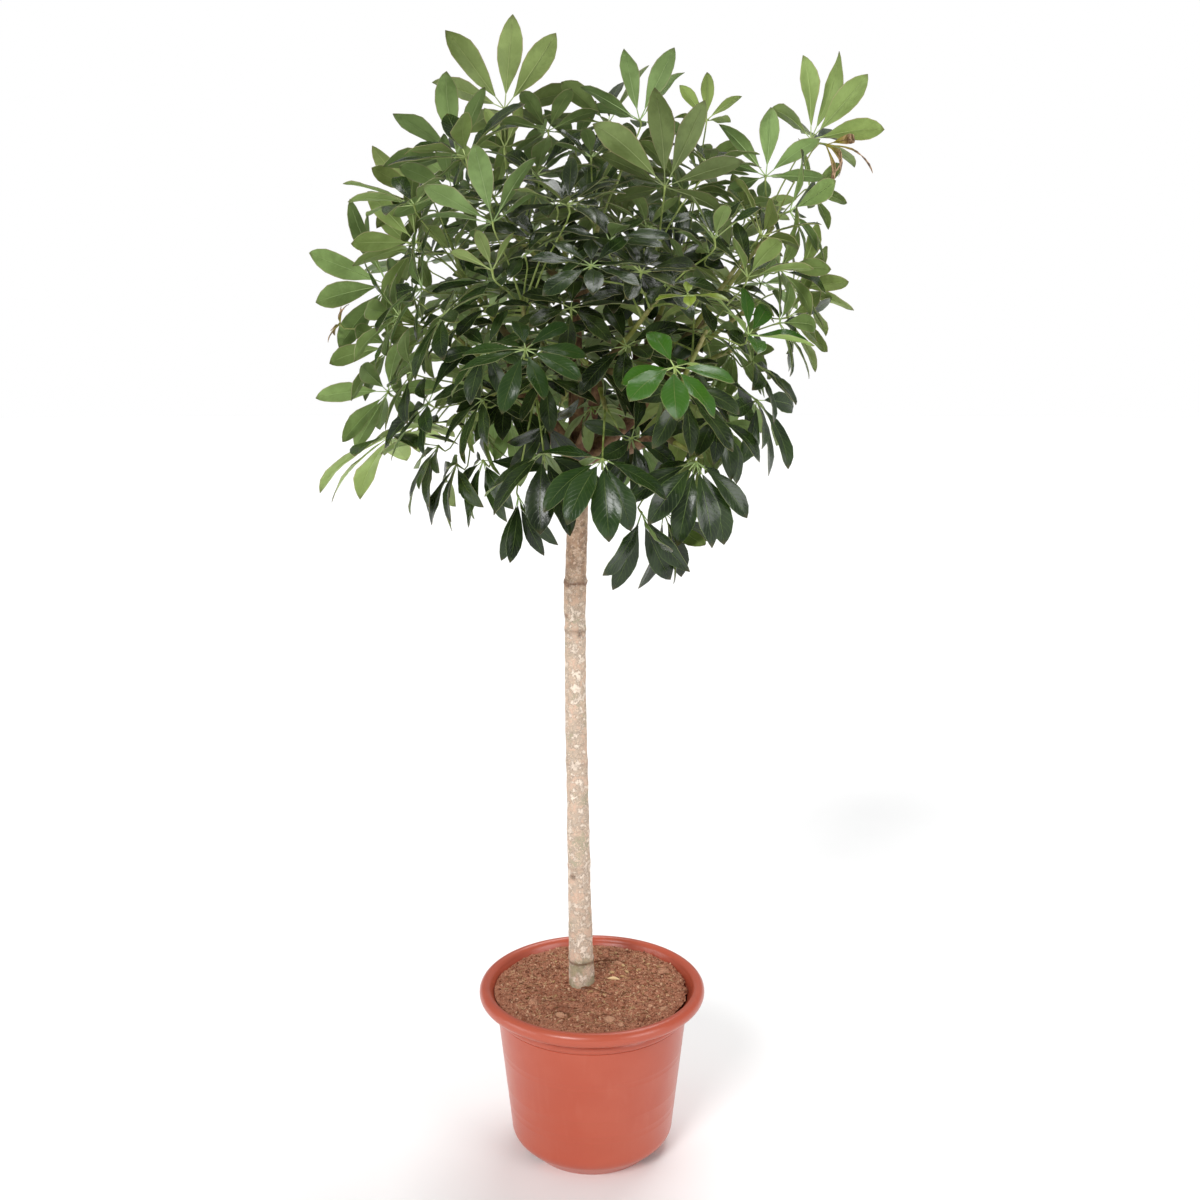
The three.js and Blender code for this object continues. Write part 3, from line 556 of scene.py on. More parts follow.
LEAF_TURNS, LEAFLET_TURNS, CUPS = (-12, 12), (-5, 5), (-6, 6)  # what the draws add, in degrees
LENGTHS = (0.93, 1.04)  # what the draws make of a leaflet's length
FURTHEST_BACK = 0.8  # how nearly a leaflet may point back along its stalk
# The leaves seen from the front: the hub's place, the length of a leaflet with its stalklet, how many
# leaflets, the bearing and lift that the leaf faces, its cup, how far the leaflets hang, and for some
# how wide a leaflet is for its length.
FRONT_LEAVES = [
    (-124, 0, 1608, 130, 8, 180, 38, 54, 0),
    (250, -20, 1512, 98, 8, 170, 48, 60, 0),
    (304, 50, 1362, 104, 8, 105, 14, 52, 0.05),
    (-123, -20, 1552, 62, 5, 180, 50, 50, 0),
    (-60, -60, 1566, 84, 7, 180, 62, 72, 0),
    (-187, -60, 1535, 108, 8, -130, 46, 54, 0),
    (-127, -200, 1425, 112, 7, -150, 62, 56, 0),
    (-126, -230, 1362, 62, 5, -150, 60, 45, 0),
    (-242, -20, 1487, 94, 8, -105, 26, 52, 0),
    (-246, 70, 1476, 92, 8, -100, 12, 54, 0.05),
    (-250, -40, 1418, 108, 9, -124, 18, 54, 0.02),
    (-298, 0, 1362, 134, 9, -116, 10, 58, 0.1),
    (-232, -120, 1348, 98, 9, -80, 24, 62, 0.15),
    (-196, -170, 1310, 98, 8, -60, 42, 78, 0.25),
    (-294, -20, 1272, 104, 9, -128, 26, 66, 0.15),
    (-302, 0, 1208, 106, 9, -132, 26, 66, 0.15),
    (-296, -24, 1144, 140, 9, -106, 68, 84, 0.2),
    (-262, 30, 1156, 92, 8, -90, 56, 80, 0.45),
    (-194, -70, 1105, 100, 7, -70, 24, 64, 0.9),
    (-152, -110, 1112, 92, 7, -40, 30, 66, 0.9),
    (-61, -250, 1130, 108, 8, -10, 58, 84, 0.75, 0.36),
    (-80, -300, 1260, 96, 9, 5, 56, 86, 0.12),
    (2, -290, 1362, 86, 8, 10, 62, 76, 0.05),
    (16, -300, 1124, 106, 8, 5, 54, 84, 0.65, 0.38),
    (68, -230, 1050, 112, 5, 10, -40, 34, 0.5),
    (100, -180, 1046, 104, 5, 50, -40, 34, 0.5),
    (140, -220, 1116, 122, 8, 15, 46, 74, 1, 0.32),
    (172, -150, 1172, 112, 8, 25, 50, 76, 0.8),
    (238, -60, 1196, 112, 8, 60, 26, 62, 0.8),
    (104, -326, 1238, 88, 7, -15, 60, 86, 0.3, 0.46),
    (228, -80, 1250, 100, 8, 70, 30, 66, 0.4),
    (290, 10, 1316, 98, 8, 95, 8, 56, 0.12),
    (210, -190, 1282, 96, 7, 50, 55, 60, 0.05),
    (122, -290, 1326, 56, 6, 0, 80, 84, 0),
    (212, -150, 1360, 94, 7, 60, 64, 50, 0),
    (268, -60, 1378, 100, 9, 100, 22, 58, 0.05),
    (284, -30, 1462, 96, 8, 95, 24, 58, 0.08),
    (318, 10, 1568, 116, 9, 118, 42, 44, 0),
    (326, 60, 1506, 76, 6, 110, 22, 60, 0.05),
    (97, -200, 1470, 124, 8, 170, 54, 56, 0),
    (68, -60, 1580, 100, 7, 180, 58, 46, 0),
    (25, 0, 1588, 110, 7, -125, 58, 42, 0),
    (160, -100, 1515, 82, 7, 60, 70, 62, 0),
    (167, 20, 1596, 66, 6, 170, 58, 42, 0),
    (158, -240, 1400, 70, 6, 10, 74, 40, 0),
    (1, -120, 1520, 70, 7, 0, 76, 52, 0),
    (-100, -160, 1066, 94, 5, 10, -40, 30, 0.5, 0.24),
    (-222, -50, 1130, 104, 8, -60, 24, 64, 0.9),
    (-268, -90, 1312, 100, 8, -85, 16, 60, 0.15),
    (-250, -104, 1236, 104, 8, -76, 30, 68, 0.3),
    (-250, 60, 1300, 96, 8, -100, 6, 58, 0.15),
    (-228, -110, 1192, 100, 8, -60, 26, 66, 0.5),
    (-262, 60, 1418, 92, 8, -110, 24, 60, 0.05),
    (-196, -50, 1486, 98, 8, -115, 46, 60, 0),
    (262, -110, 1302, 96, 8, 80, 16, 58, 0.15),
    (236, -96, 1420, 96, 8, 80, 46, 62, 0),
    (336, -14, 1556, 78, 7, 80, 10, 50, 0.6, 0.2),
    (-358, -60, 1304, 34, 6, -80, 30, 70, 0, 0.24),
]
# The leaves that fill the rest, and smaller ones deep in the crown that only fill its shade. Each layer
# has its points, its share of the crown's reach, and its least spacing.
FILL = {
    "layers": [(110, 1, 84), (60, 0.76, 78), (24, 0.5, 74)],
    "reach": (0.93, 1.03), "length": (78, 112), "leaflets": (8, 10),
}
INNER = {
    "layers": [(90, 0.86, 56), (70, 0.66, 54), (40, 0.44, 52)],
    "reach": (0.9, 1.05), "length": (66, 96), "leaflets": (6, 9),
}
TRUNK_ROOM = 0.86  # how far down a layer reaches, as a share of its height below the middle
STALK_FEET = [1, 0.86, 0.72, 0.58, 0.93, 0.79, 0.65, 0.5]  # shares of a stem where its stalks leave it
STEMS_TRIED = 4
# What a leaflet tries in turn: a change of cup and of turn, in degrees.
BENDS = [
    (0, 0), (9, 0), (-9, 0), (0, 8), (0, -8), (16, 0), (-16, 0), (9, 9), (-9, -9), (24, 0), (-24, 0),
    (12, -14), (-12, 14), (34, 0), (-34, 0),
]
WIDE_GAP = 1.45  # between two leaflets of a leaf, where the even gap is 1
MOST_ROOMS = 8192
WOOD = -1  # the owners of rooms are the wood, a stem (from FIRST_STEM) or a leaf (from 0)
NOBODY = -2
FIRST_STEM = 1000
UP = np.array([0.0, 0.0, 1.0])


class Draws:
    """The same draws each time: a linear congruential generator with whole numbers only."""

    def __init__(self, state):
        self.state = state

    def __call__(self, low, high):
        self.state = (self.state * 1664525 + 1013904223) % 4294967296
        return low + (high - low) * self.state / 4294967296


def mix(a, b, t):
    return a + (b - a) * t


def clamp(x):
    return min(1.0, max(0.0, x))


def cross(a, b):
    return np.array([a[1] * b[2] - a[2] * b[1], a[2] * b[0] - a[0] * b[2], a[0] * b[1] - a[1] * b[0]])


def size(v):
    return math.sqrt(v[0] * v[0] + v[1] * v[1] + v[2] * v[2])


def unit(v):
    return v / (size(v) or 1)


def level_vector(bearing):
    return np.array([math.sin(bearing), -math.cos(bearing), 0.0])


class Rooms:
    """Thin boxes that hold each thing's room, and the test of whether a new one meets them."""

    def __init__(self):
        self.count = 0
        self.middles = np.zeros((MOST_ROOMS, 3))
        self.axes = np.zeros((MOST_ROOMS, 3, 3))
        self.halves = np.zeros((MOST_ROOMS, 3))
        self.reach = np.zeros(MOST_ROOMS)
        self.owners = np.full(MOST_ROOMS, NOBODY)
        self.at_root = np.zeros(MOST_ROOMS, bool)

    def add(self, room, owner, at_root=False):
        i = self.count
        self.middles[i], self.axes[i], self.halves[i] = room
        self.reach[i] = size(room[2])
        self.owners[i], self.at_root[i] = owner, at_root
        self.count += 1
        return i

    def meets(self, room, ignored):
        """Whether a room meets any other but those that the mask ignores: no line parts the two."""
        middle, axes, halves = room
        n = self.count
        apart = self.middles[:n] - middle
        near = (apart * apart).sum(1) <= (self.reach[:n] + size(halves)) ** 2
        near = np.nonzero(near & ~ignored[:n])[0]
        if not len(near):
            return False
        apart, others, theirs = apart[near], self.axes[near], self.halves[near]
        mine = np.broadcast_to(axes, others.shape)
        crossed = np.cross(mine[:, :, None, :], others[:, None, :, :]).reshape(len(near), 9, 3)
        lines = np.concatenate([mine, others, crossed], 1)
        reach = (np.abs(np.einsum("nki,nai->nka", lines, mine)) * halves).sum(2)
        reach += (np.abs(np.einsum("nki,nai->nka", lines, others)) * theirs[:, None, :]).sum(2)
        parted = np.abs(np.einsum("nki,ni->nk", lines, apart)) > reach
        parted &= np.linalg.norm(lines, axis=2) >= 1e-6
        return bool((~parted.any(1)).any())


def room_along(start, end, sideways, half_width, half_thickness):
    along = end - start
    half_length = size(along) / 2
    along = unit(along)
    across = unit(sideways - along * (sideways @ along))
    axes = np.array([along, across, cross(along, across)])
    return (start + end) * 0.5, axes, np.array([half_length, half_width, half_thickness])


def any_side(start, end):
    steep = abs(unit(end - start)[2]) > 0.9
    return np.array([1.0, 0.0, 0.0]) if steep else UP


def enter_rod(rooms, points, radii, owner):
    for i in range(len(points) - 1):
        radius = max(radii[i], radii[i + 1]) + 1
        side = any_side(points[i], points[i + 1])
        rooms.add(room_along(points[i], points[i + 1], side, radius, radius), owner)


def crown_point(k, count, share):
    up = 1 - (2 * k + 1) / count
    around = k * GOLDEN_TURN
    level = math.sqrt(1 - up * up)
    point = np.array([level * math.sin(around), -level * math.cos(around), up])
    return point * CROWN_REACH * share + CROWN_MIDDLE


def plan_wood(rooms):
    points = [np.array([x, y, z], float) for z, x, y, _ in TRUNK_LINE]
    radii = [row[3] for row in TRUNK_LINE]
    limbs = []
    for end in LIMB_ENDS:
        knee = TRUNK_HEAD + (end - TRUNK_HEAD) * 0.5
        knee[:2] = mix(knee[:2], end[:2], 0.35)
        limbs.append(([TRUNK_HEAD, knee, end], LIMB_RADII))
    enter_rod(rooms, points, radii, WOOD)
    for limb in limbs:
        enter_rod(rooms, *limb, WOOD)
    return (points, radii), limbs


def plan_stems(rooms):
    stems = []
    for k, tip in enumerate(STEM_TIPS):
        end = min(LIMB_ENDS, key=lambda e: size(e - tip))
        foot = end + (tip - end) * STEM_STARTS
        twig = [end, foot + (end - foot) * (GAP / size(foot - end))]
        stems.append({"id": FIRST_STEM + k, "twig": twig, "foot": foot, "tip": tip, "leaves": []})
    for stem in stems:
        enter_rod(rooms, stem["twig"], TWIG_RADII, WOOD)
        enter_rod(rooms, [stem["foot"], stem["tip"]], STEM_RADII, stem["id"])
    return stems


def more_leaves(leaves, kind, draw):
    """Adds leaves on a kind's layers, far enough from the rest, and yields each one at once."""
    for points, share, spacing in kind["layers"]:
        for k in range(points):
            hub = crown_point(k, points, share * draw(*kind["reach"]))
            length, leaflets = draw(*kind["length"]), math.floor(draw(*kind["leaflets"]))
            below = CROWN_MIDDLE[2] - hub[2] > TRUNK_ROOM * CROWN_REACH[2] * share
            if below or any(size(leaf["hub"] - hub) < spacing for leaf in leaves):
                continue
            leaves.append({"hub": hub, "length": length, "leaflets": leaflets, "front": False})
            yield leaves[-1]


def plan_leaves(draw):
    names = ("length", "leaflets", "bearing", "lift", "cup", "hang", "width_share")
    leaves = []
    for row in FRONT_LEAVES:
        leaves.append(dict(zip(names, row[3:]), hub=np.array(row[:3], float), front=True))
    for _ in more_leaves(leaves, FILL, draw):
        pass
    for i, leaf in enumerate(leaves):
        face(leaf, i, draw)
    return leaves


def face(leaf, number, draw):
    """Which way a leaf faces: away from the heart and up to the light, more cupped the higher it is."""
    outward = leaf["hub"] - HEART
    height = clamp((leaf["hub"][2] - CROWN_FOOT) / CROWN_TALL)
    level = unit(np.array([outward[0], outward[1], 0.0]))
    axis = level * mix(0.6, 0.32, height) + UP * mix(0.6, 1, height)
    if "lift" in leaf:
        bearing, lift = math.radians(leaf["bearing"]), math.radians(leaf["lift"])
        level = level_vector(bearing)
        axis = level * math.cos(lift) + UP * math.sin(lift)
    leaf["id"] = number
    leaf["axis"], leaf["level"] = unit(axis), level
    leaf.setdefault("width_share", WIDTH_SHARE)
    leaf.setdefault("cup", mix(CUP_LOW, CUP_HIGH, clamp(height * 1.3)))
    leaf.setdefault("hang", mix(HANG_LOW, HANG_HIGH, clamp(height * 1.5)))
    leaf["turn"] = draw(*LEAF_TURNS)


def lean(leaf):
    """A leaf turns only so far from its stalk, but those in front face as the list of them says."""
    ahead = unit(leaf["hub"] - leaf["foot"])
    axis = leaf["axis"]
    across = unit(axis - ahead * (axis @ ahead))
    if not leaf["front"] and math.acos(max(-1.0, min(1.0, axis @ ahead))) > MOST_LEAN:
        axis = ahead * math.cos(MOST_LEAN) + across * math.sin(MOST_LEAN)
    leaf["axis"] = axis
    leaf["outward"] = unit(leaf["level"] - axis * (leaf["level"] @ axis))
    leaf["sideways"] = cross(axis, leaf["outward"])


def plant_stalk(leaf, stems, rooms):
    """The stalk runs from the first stem and height nearby that leave it clear."""
    for stem in sorted(stems, key=lambda s: size(s["tip"] - leaf["hub"]))[:STEMS_TRIED]:
        first = len(stem["leaves"])
        for i in range(len(STALK_FEET)):
            share = STALK_FEET[(first + i) % len(STALK_FEET)] * 0.97
            foot = stem["foot"] + (stem["tip"] - stem["foot"]) * share
            room = room_along(foot, leaf["hub"], any_side(foot, leaf["hub"]), HUB_ROOM, HUB_ROOM)
            if rooms.meets(room, rooms.owners == stem["id"]):
                continue
            leaf["foot"], leaf["stem"] = foot, stem
            stem["leaves"].append(leaf)
            leaf["room"] = rooms.add(room, stem["id"])
            lean(leaf)
            return


def leaflet_line(leaf, around, cup, length):
    """One leaflet's line from the hub, where it is widest, and its tip."""
    axis, hub = leaf["axis"], leaf["hub"]
    level = leaf["outward"] * math.cos(around) + leaf["sideways"] * math.sin(around)
    along = axis * math.cos(cup) + level * math.sin(cup)
    along = unit(along - UP * leaf["hang"])
    face = unit(axis - along * (axis @ along))
    drop = mix(DROOP_LEAST, DROOP_MOST, clamp(leaf["hang"] * 1.6)) * length
    wide, tip = (hub + along * s * length - face * drop * s * s for s in (WIDEST_AT, 1))
    half = length * leaf["width_share"] / 2
    return {
        "root": hub, "wide": wide, "tip": tip, "face": face, "along": along, "drop": drop,
        "length": length, "half": half, "around": around,
    }


def leaflet_rooms(line):
    half = line["half"]
    across = cross(line["face"], line["tip"] - line["root"])
    spots = [line["root"] + (line["wide"] - line["root"]) * share for share in (0.2, 0.6, 1)]
    return [
        room_along(spots[0], spots[1], across, half * 0.7, ROOM),
        room_along(spots[1], spots[2], across, half, ROOM),
        room_along(line["wide"], line["tip"], across, half * 0.85, ROOM),
    ]


def slim_rooms(line):
    """Less room than a leaflet takes: only its middle third is kept clear."""
    across = cross(line["face"], line["tip"] - line["root"])
    spots = [line["root"] + (line["wide"] - line["root"]) * share for share in (0.3, 1)]
    half = line["half"] * 0.5
    return [
        room_along(spots[0], spots[1], across, half, ROOM * 0.5),
        room_along(spots[1], line["tip"] - (line["tip"] - line["wide"]) * 0.3, across, half, ROOM * 0.5),
    ]


def unfold(leaf, rooms, draw):
    leaf["lines"] = []
    for k in range(leaf["leaflets"]):
        turn = math.radians(leaf["turn"] + draw(*LEAFLET_TURNS))
        around = FULL_TURN * k / leaf["leaflets"] + turn
        open_leaflet(leaf, around, leaflet_rooms, rooms, draw)


def open_leaflet(leaf, around, rooms_of, rooms, draw):
    """Adds the first bend of a leaflet that is clear of the others."""
    down = unit(leaf["foot"] - leaf["hub"])
    cup = leaf["cup"] + draw(*CUPS)
    back = (leaflet_line(leaf, around, math.radians(cup), 1)["tip"] - leaf["hub"]) @ down
    length = leaf["length"] * (1 - SHORTER_BACK * (1 + back)) * draw(*LENGTHS)
    for more_cup, more_turn in BENDS:
        line = leaflet_line(leaf, around + math.radians(more_turn), math.radians(cup + more_cup), length)
        if unit(line["tip"] - line["root"]) @ down > FURTHEST_BACK:
            continue
        made = rooms_of(line)
        own = rooms.owners == leaf["id"]
        own_roots = own & rooms.at_root
        own[leaf["room"]] = own_roots[leaf["room"]] = True
        if rooms.meets(made[0], own) or any(rooms.meets(room, own_roots) for room in made[1:]):
            continue
        for i, room in enumerate(made):
            rooms.add(room, leaf["id"], at_root=i == 0)
        leaf["lines"].append(line)
        return


def close_gaps(leaf, rooms, draw):
    """Adds leaflets that overlap their neighbours, in the gaps that a leaf still has round its hub."""
    even = FULL_TURN / leaf["leaflets"]
    turns = sorted(line["around"] % FULL_TURN for line in leaf["lines"])
    for here, after in zip(turns, turns[1:] + [turns[0] + FULL_TURN]):
        more = round((after - here) / even) - 1
        if after - here < WIDE_GAP * even or more < 1:
            continue
        for k in range(more):
            open_leaflet(leaf, here + (after - here) * (k + 1) / (more + 1), slim_rooms, rooms, draw)


def add_inner_leaves(leaves, stems, rooms, draw):
    for leaf in more_leaves(leaves, INNER, draw):
        face(leaf, len(leaves) - 1, draw)
        plant_stalk(leaf, stems, rooms)
        if "stem" in leaf:
            unfold(leaf, rooms, draw)
    for leaf in leaves:
        if leaf.get("lines"):
            close_gaps(leaf, rooms, draw)


def plan_crown():
    rooms, draw = Rooms(), Draws(20417)
    trunk, limbs = plan_wood(rooms)
    stems = plan_stems(rooms)
    leaves = plan_leaves(draw)
    for leaf in leaves:
        plant_stalk(leaf, stems, rooms)
    for leaf in leaves:
        if "stem" in leaf:
            unfold(leaf, rooms, draw)
    add_inner_leaves(leaves, stems, rooms, draw)
    return trunk, limbs, stems


# ---- Small tools for shapes ---------------------------------------------------------------------


def new_piece(name, bm, material):
    """The finished mesh as an object that sits at the origin."""
    mesh = bpy.data.meshes.new(name)
    bm.to_mesh(mesh)
    bm.free()
    mesh.materials.append(material)
    piece = bpy.data.objects.new(name, mesh)
    bpy.context.scene.collection.objects.link(piece)
    return piece


def add_to_plant(piece, slot, *nodes):
    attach(piece, "root")
    if nodes:
        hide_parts(*nodes)


def map_blade(bm, place_of):
    """Lays the map that the leaf finish reads, (across, along), from a rule for each point."""
    uv = bm.loops.layers.uv.new("blade")
    for face in bm.faces:
        for loop in face.loops:
            loop[uv].uv = place_of(loop.vert.co)


def smooth(bm, sharpest=180.0):
    """Smooth faces, with the edges that turn by more than an angle kept sharp."""
    for face in bm.faces:
        face.smooth = True
    for edge in bm.edges:
        edge.smooth = edge.calc_face_angle(0.0) < math.radians(sharpest)


def pattern_of(bm, steps=0):
    """A shape that is used many times: its mesh, its points, and how many steps it has."""
    mesh = bpy.data.meshes.new("pattern")
    at = np.array([v.co for v in bm.verts], float)
    bm.to_mesh(mesh)
    bm.free()
    return {"mesh": mesh, "at": at, "steps": steps}


def rod_pattern(sides, steps):
    """A straight rod of length and radius 1 along Z, with a ring of faces for each step."""
    bm = bmesh.new()
    bmesh.ops.create_cone(bm, cap_ends=True, segments=sides, radius1=1, radius2=1, depth=1)
    long_edges = [e for e in bm.edges if abs(e.verts[0].co.z - e.verts[1].co.z) > 0.5]
    if steps > 1:
        bmesh.ops.subdivide_edges(bm, edges=long_edges, cuts=steps - 1, use_grid_fill=True)
    bmesh.ops.translate(bm, verts=bm.verts, vec=(0, 0, 0.5))
    map_blade(bm, lambda co: (0.5, co.z))
    smooth(bm, 80)
    return pattern_of(bm, steps)


def ball_pattern(subdivisions):
    bm = bmesh.new()
    bmesh.ops.create_icosphere(bm, subdivisions=subdivisions, radius=1)
    smooth(bm)
    return pattern_of(bm)


def curve(points, steps):
    """Points in even steps along a smooth line through the given ones (Catmull-Rom)."""
    points = [np.array(p, float) for p in points]
    ends = [2 * points[0] - points[1], *points, 2 * points[-1] - points[-2]]
    made = []
    for i in range(steps + 1):
        run = i / steps * (len(points) - 1)
        k = min(int(run), len(points) - 2)
        t = run - k
        a, b, c, d = ends[k : k + 4]
        bow = (2 * a - 5 * b + 4 * c - d) * t * t + (3 * b - a - 3 * c + d) * t**3
        made.append(0.5 * (2 * b + (c - a) * t + bow))
    return np.array(made)


def clamp_all(values):
    return np.clip(values, 0, 1)


def spread(values, steps):
    """As many values as a rod has rings, between the given ones."""
    return np.interp(np.linspace(0, len(values) - 1, steps + 1), range(len(values)), values)


def units(rows):
    return rows / np.linalg.norm(rows, axis=1)[:, None]


def bent_rod(pattern, line, radii):
    """The rod pattern's points, bent along a line and as thick as the radii say."""
    ring = np.rint(pattern["at"][:, 2] * pattern["steps"]).astype(int)
    ahead = units(np.gradient(line, axis=0))
    side = np.array([1.0, 0, 0]) if abs(ahead[0][0]) < 0.9 else np.array([0, 1.0, 0])
    sides = []
    for along in ahead:
        side = unit(side - along * (side @ along))
        sides.append(side)
    sides, others = np.array(sides), np.cross(ahead, np.array(sides))
    x, y = pattern["at"][:, :1], pattern["at"][:, 1:2]
    return line[ring] + (sides[ring] * x + others[ring] * y) * np.asarray(radii)[ring][:, None]


def rough(at, grain, octaves=3):
    """Noise from about -1 to 1 at each point, for lumps of about that many millimetres."""
    return np.array([noise.fractal(Vector(p / grain), 1.0, 2.0, octaves) for p in at])


EDGE = 0.0002  # how far inside the solids' box every point stays


class Bunch:
    """Many bent copies of a few patterns in one mesh, in millimetres, with marks on their points."""

    def __init__(self, *marks):
        self.bm = bmesh.new()
        self.at = []
        self.marks = {name: [] for name in marks}

    def add(self, pattern, at, **marks):
        self.bm.from_mesh(pattern["mesh"])
        self.at.append(at)
        for name, kept in self.marks.items():
            kept.append(np.broadcast_to(np.asarray(marks.get(name, 0.0), float), len(at)))

    def piece(self, name, material):
        piece = new_piece(name, self.bm, material)
        low, high = (np.array(corner) for corner in solid_box)
        at = np.clip(np.concatenate(self.at) * MM, low + EDGE, high - EDGE)
        piece.data.vertices.foreach_set("co", at.astype(np.float32).ravel())
        for title, kept in self.marks.items():
            made = piece.data.attributes.new(title, "FLOAT", "POINT")
            made.data.foreach_set("value", np.concatenate(kept).astype(np.float32))
        piece.data.update()
        return piece


# ---- Leaves -------------------------------------------------------------------------------------

STALKLET = 0.17  # the share of a leaflet's length that is its own bare stalk
BLADE_OUTLINE = (  # along the blade, and half its width where the widest is 1
    (0, 0.05), (0.12, 0.29), (0.27, 0.63), (0.43, 0.90), (0.58, 1), (0.73, 0.92), (0.86, 0.64),
    (0.94, 0.34), (1, 0.02),
)
BLADE_COLUMNS = 4
BLADE_THICKNESS = 0.6
MIDRIB = (1.0, 0.8, 0.65, 0.45, 0.3, 0.15)  # its radii, from the hub to near the tip
MIDRIB_END = 0.9
MOST_BEND, MOST_CURL = 0.1, 0.12  # shares of a leaflet's length
MOST_ROLL, FOLDS, WAVES, WAVE_COUNT, ARCH = 0.6, (0.3, 0.7), (0.05, 0.18), 1.6, 0.68
MIDRIB_SINK = 0.45  # how far its middle lies under the blade
STALK_RADII = [2.2, 1.4, 1.2, 1.1, 1.2, 2.0]  # from its foot to the hub
STALK_NECK = 16  # the length under the hub where the stalk has turned to the way that the leaf faces
SHOOT_RADII = [4.2, 3.6, 3.3, 3.1, 2.9, 2.8, 1]
SHOOT_POINT = 7  # how far the stem's bud reaches past its tip
LEAF_VARIETY, LEAFLET_VARIETY = 0.5, 0.35  # how much the tones differ between leaves, and within one
LEAF_MARKS = ("under", "stalk", "young", "withered", "tone", "olive")
# Painted side light: the leaves to either side are painted paler, for the light that falls on them from
# the sides.
PAINTED_SIDE_LIGHT = 1.6  # how much paler the leaves at the sides are than those in the middle
# By their row in FRONT_LEAVES: how fresh the young leaves are (a shoot past 1), how far some have
# withered, and how much darker (below 0) or paler some are. The paler ones, all at the left side, are
# painted light from that side.
YOUNG = {29: 1.0, 32: 0.75, 33: 1.5, 43: 0.9, 21: 0.35, 23: 0.3, 16: 0.2, 17: 0.2, 37: 0.2, 0: 0.1}
WITHERED = {56: 1.0, 57: 0.9}
TONES_AND_SIDE_LIGHT = {39: -1.1, 0: -0.5, 37: -0.4, 11: 0.5, 14: 0.6, 15: 0.5, 16: 0.5, 48: 0.4, 50: 0.4}


def leaflet_pattern():
    """A flat blade: x across from -1 to 1, y along from 0 to 1, z 0 on its lower face and 1 above."""
    bm = bmesh.new()
    rows = len(BLADE_OUTLINE) - 1
    bmesh.ops.create_grid(bm, x_segments=BLADE_COLUMNS, y_segments=rows, size=1)
    for vert in bm.verts:
        vert.co.y = BLADE_OUTLINE[round((vert.co.y + 1) / 2 * rows)][0]
    raised = bmesh.ops.extrude_face_region(bm, geom=list(bm.faces))["geom"]
    raised = [part for part in raised if isinstance(part, bmesh.types.BMVert)]
    bmesh.ops.translate(bm, verts=raised, vec=(0, 0, 1))
    bmesh.ops.recalc_face_normals(bm, faces=bm.faces)
    smooth(bm, 60)
    map_blade(bm, lambda co: (0.5 + co.x / 2, co.y))
    return pattern_of(bm)


def leaflet_middle(line, share, bend, curl):
    """Points down the middle of a leaflet, which droops, bends to one side and curls at its tip."""
    share = np.asarray(share, float)[:, None]
    sideways = cross(line["along"], line["face"])
    along = line["root"] + share * line["length"] * line["along"]
    droop = line["drop"] * share**2 + curl * share**5
    return along - droop * line["face"] + bend * share**2 * sideways


def blade(pattern, line, bend, curl, rng):
    """The points of one blade: folded along its midrib, arched, a little waved and turned."""
    across, along, upper = (pattern["at"][:, k] for k in range(3))
    share = STALKLET + (1 - STALKLET) * along
    middle = leaflet_middle(line, share, bend, curl)
    ahead = units(leaflet_middle(line, share + 0.01, bend, curl) - middle)
    wide = units(np.cross(ahead, line["face"]))
    over = np.cross(wide, ahead)
    roll = (rng.uniform(-MOST_ROLL, MOST_ROLL) * along)[:, None]
    wide, over = wide * np.cos(roll) + over * np.sin(roll), over * np.cos(roll) - wide * np.sin(roll)
    half = np.interp(along, *zip(*BLADE_OUTLINE)) * line["half"]
    fold, wave = rng.uniform(*FOLDS), rng.uniform(*WAVES)
    waved = wave * np.sin(FULL_TURN * (WAVE_COUNT * along + rng.random()) + (across > 0) * 2)
    lift = half * (fold * (np.abs(across) - ARCH * across**2) + waved * across**2)
    lift += (upper - 0.5) * BLADE_THICKNESS
    return middle + wide * (half * across)[:, None] + over * lift[:, None]


def shift_inward(at, share):
    """How far a leaflet's tip must be bent back so that all of it stays in the solids' box."""
    low, high = (np.array(corner) / MM for corner in solid_box)
    over = np.maximum(at - high + 1, 0) + np.minimum(at - low - 1, 0)
    shifts = over / np.maximum(share, 0.25)[:, None] ** 2
    return -shifts[np.abs(shifts).argmax(0), range(3)]


def add_leaflet(bunch, line, rng, marks):
    """A blade, and the rib that stands out under it from the hub to near its tip."""
    limp = 1 + 2 * marks["withered"]
    bend = rng.uniform(-MOST_BEND, MOST_BEND) * limp * line["length"]
    curl = rng.uniform(0, MOST_CURL) * limp * line["length"]
    at = blade(BLADE, line, bend, curl, rng)
    share = STALKLET + (1 - STALKLET) * BLADE["at"][:, 1]
    inward = shift_inward(at, share)
    at = at + inward * share[:, None] ** 2
    marks = {**marks, "tone": marks["tone"] + rng.uniform(-LEAFLET_VARIETY, LEAFLET_VARIETY)}
    bunch.add(BLADE, at, **marks, under=1 - BLADE["at"][:, 2])
    share = np.linspace(0.01, MIDRIB_END, len(MIDRIB))
    sink = (MIDRIB_SINK * clamp_all(share / STALKLET))[:, None]
    rib = leaflet_middle(line, share, bend, curl) - line["face"] * sink
    rib = rib + inward * share[:, None] ** 2
    bunch.add(RIB, bent_rod(RIB, rib, MIDRIB), **marks, under=1)


def add_stalk(bunch, leaf, rng, marks):
    """A leaf's stalk leaves its stem, bows up a little, and meets its hub from below."""
    foot, hub, axis = leaf["foot"], leaf["hub"], leaf["axis"]
    reach = size(hub - foot)
    bow = UP * reach * rng.uniform(0.02, 0.06)
    neck = hub - axis * min(STALK_NECK, 0.25 * reach)
    line = curve([foot, foot + (neck - foot) * 0.5 + bow, neck, hub + axis * 1.5], STALK["steps"])
    radii = spread(STALK_RADII, STALK["steps"])
    bunch.add(STALK, bent_rod(STALK, line, radii), stalk=1, **marks)


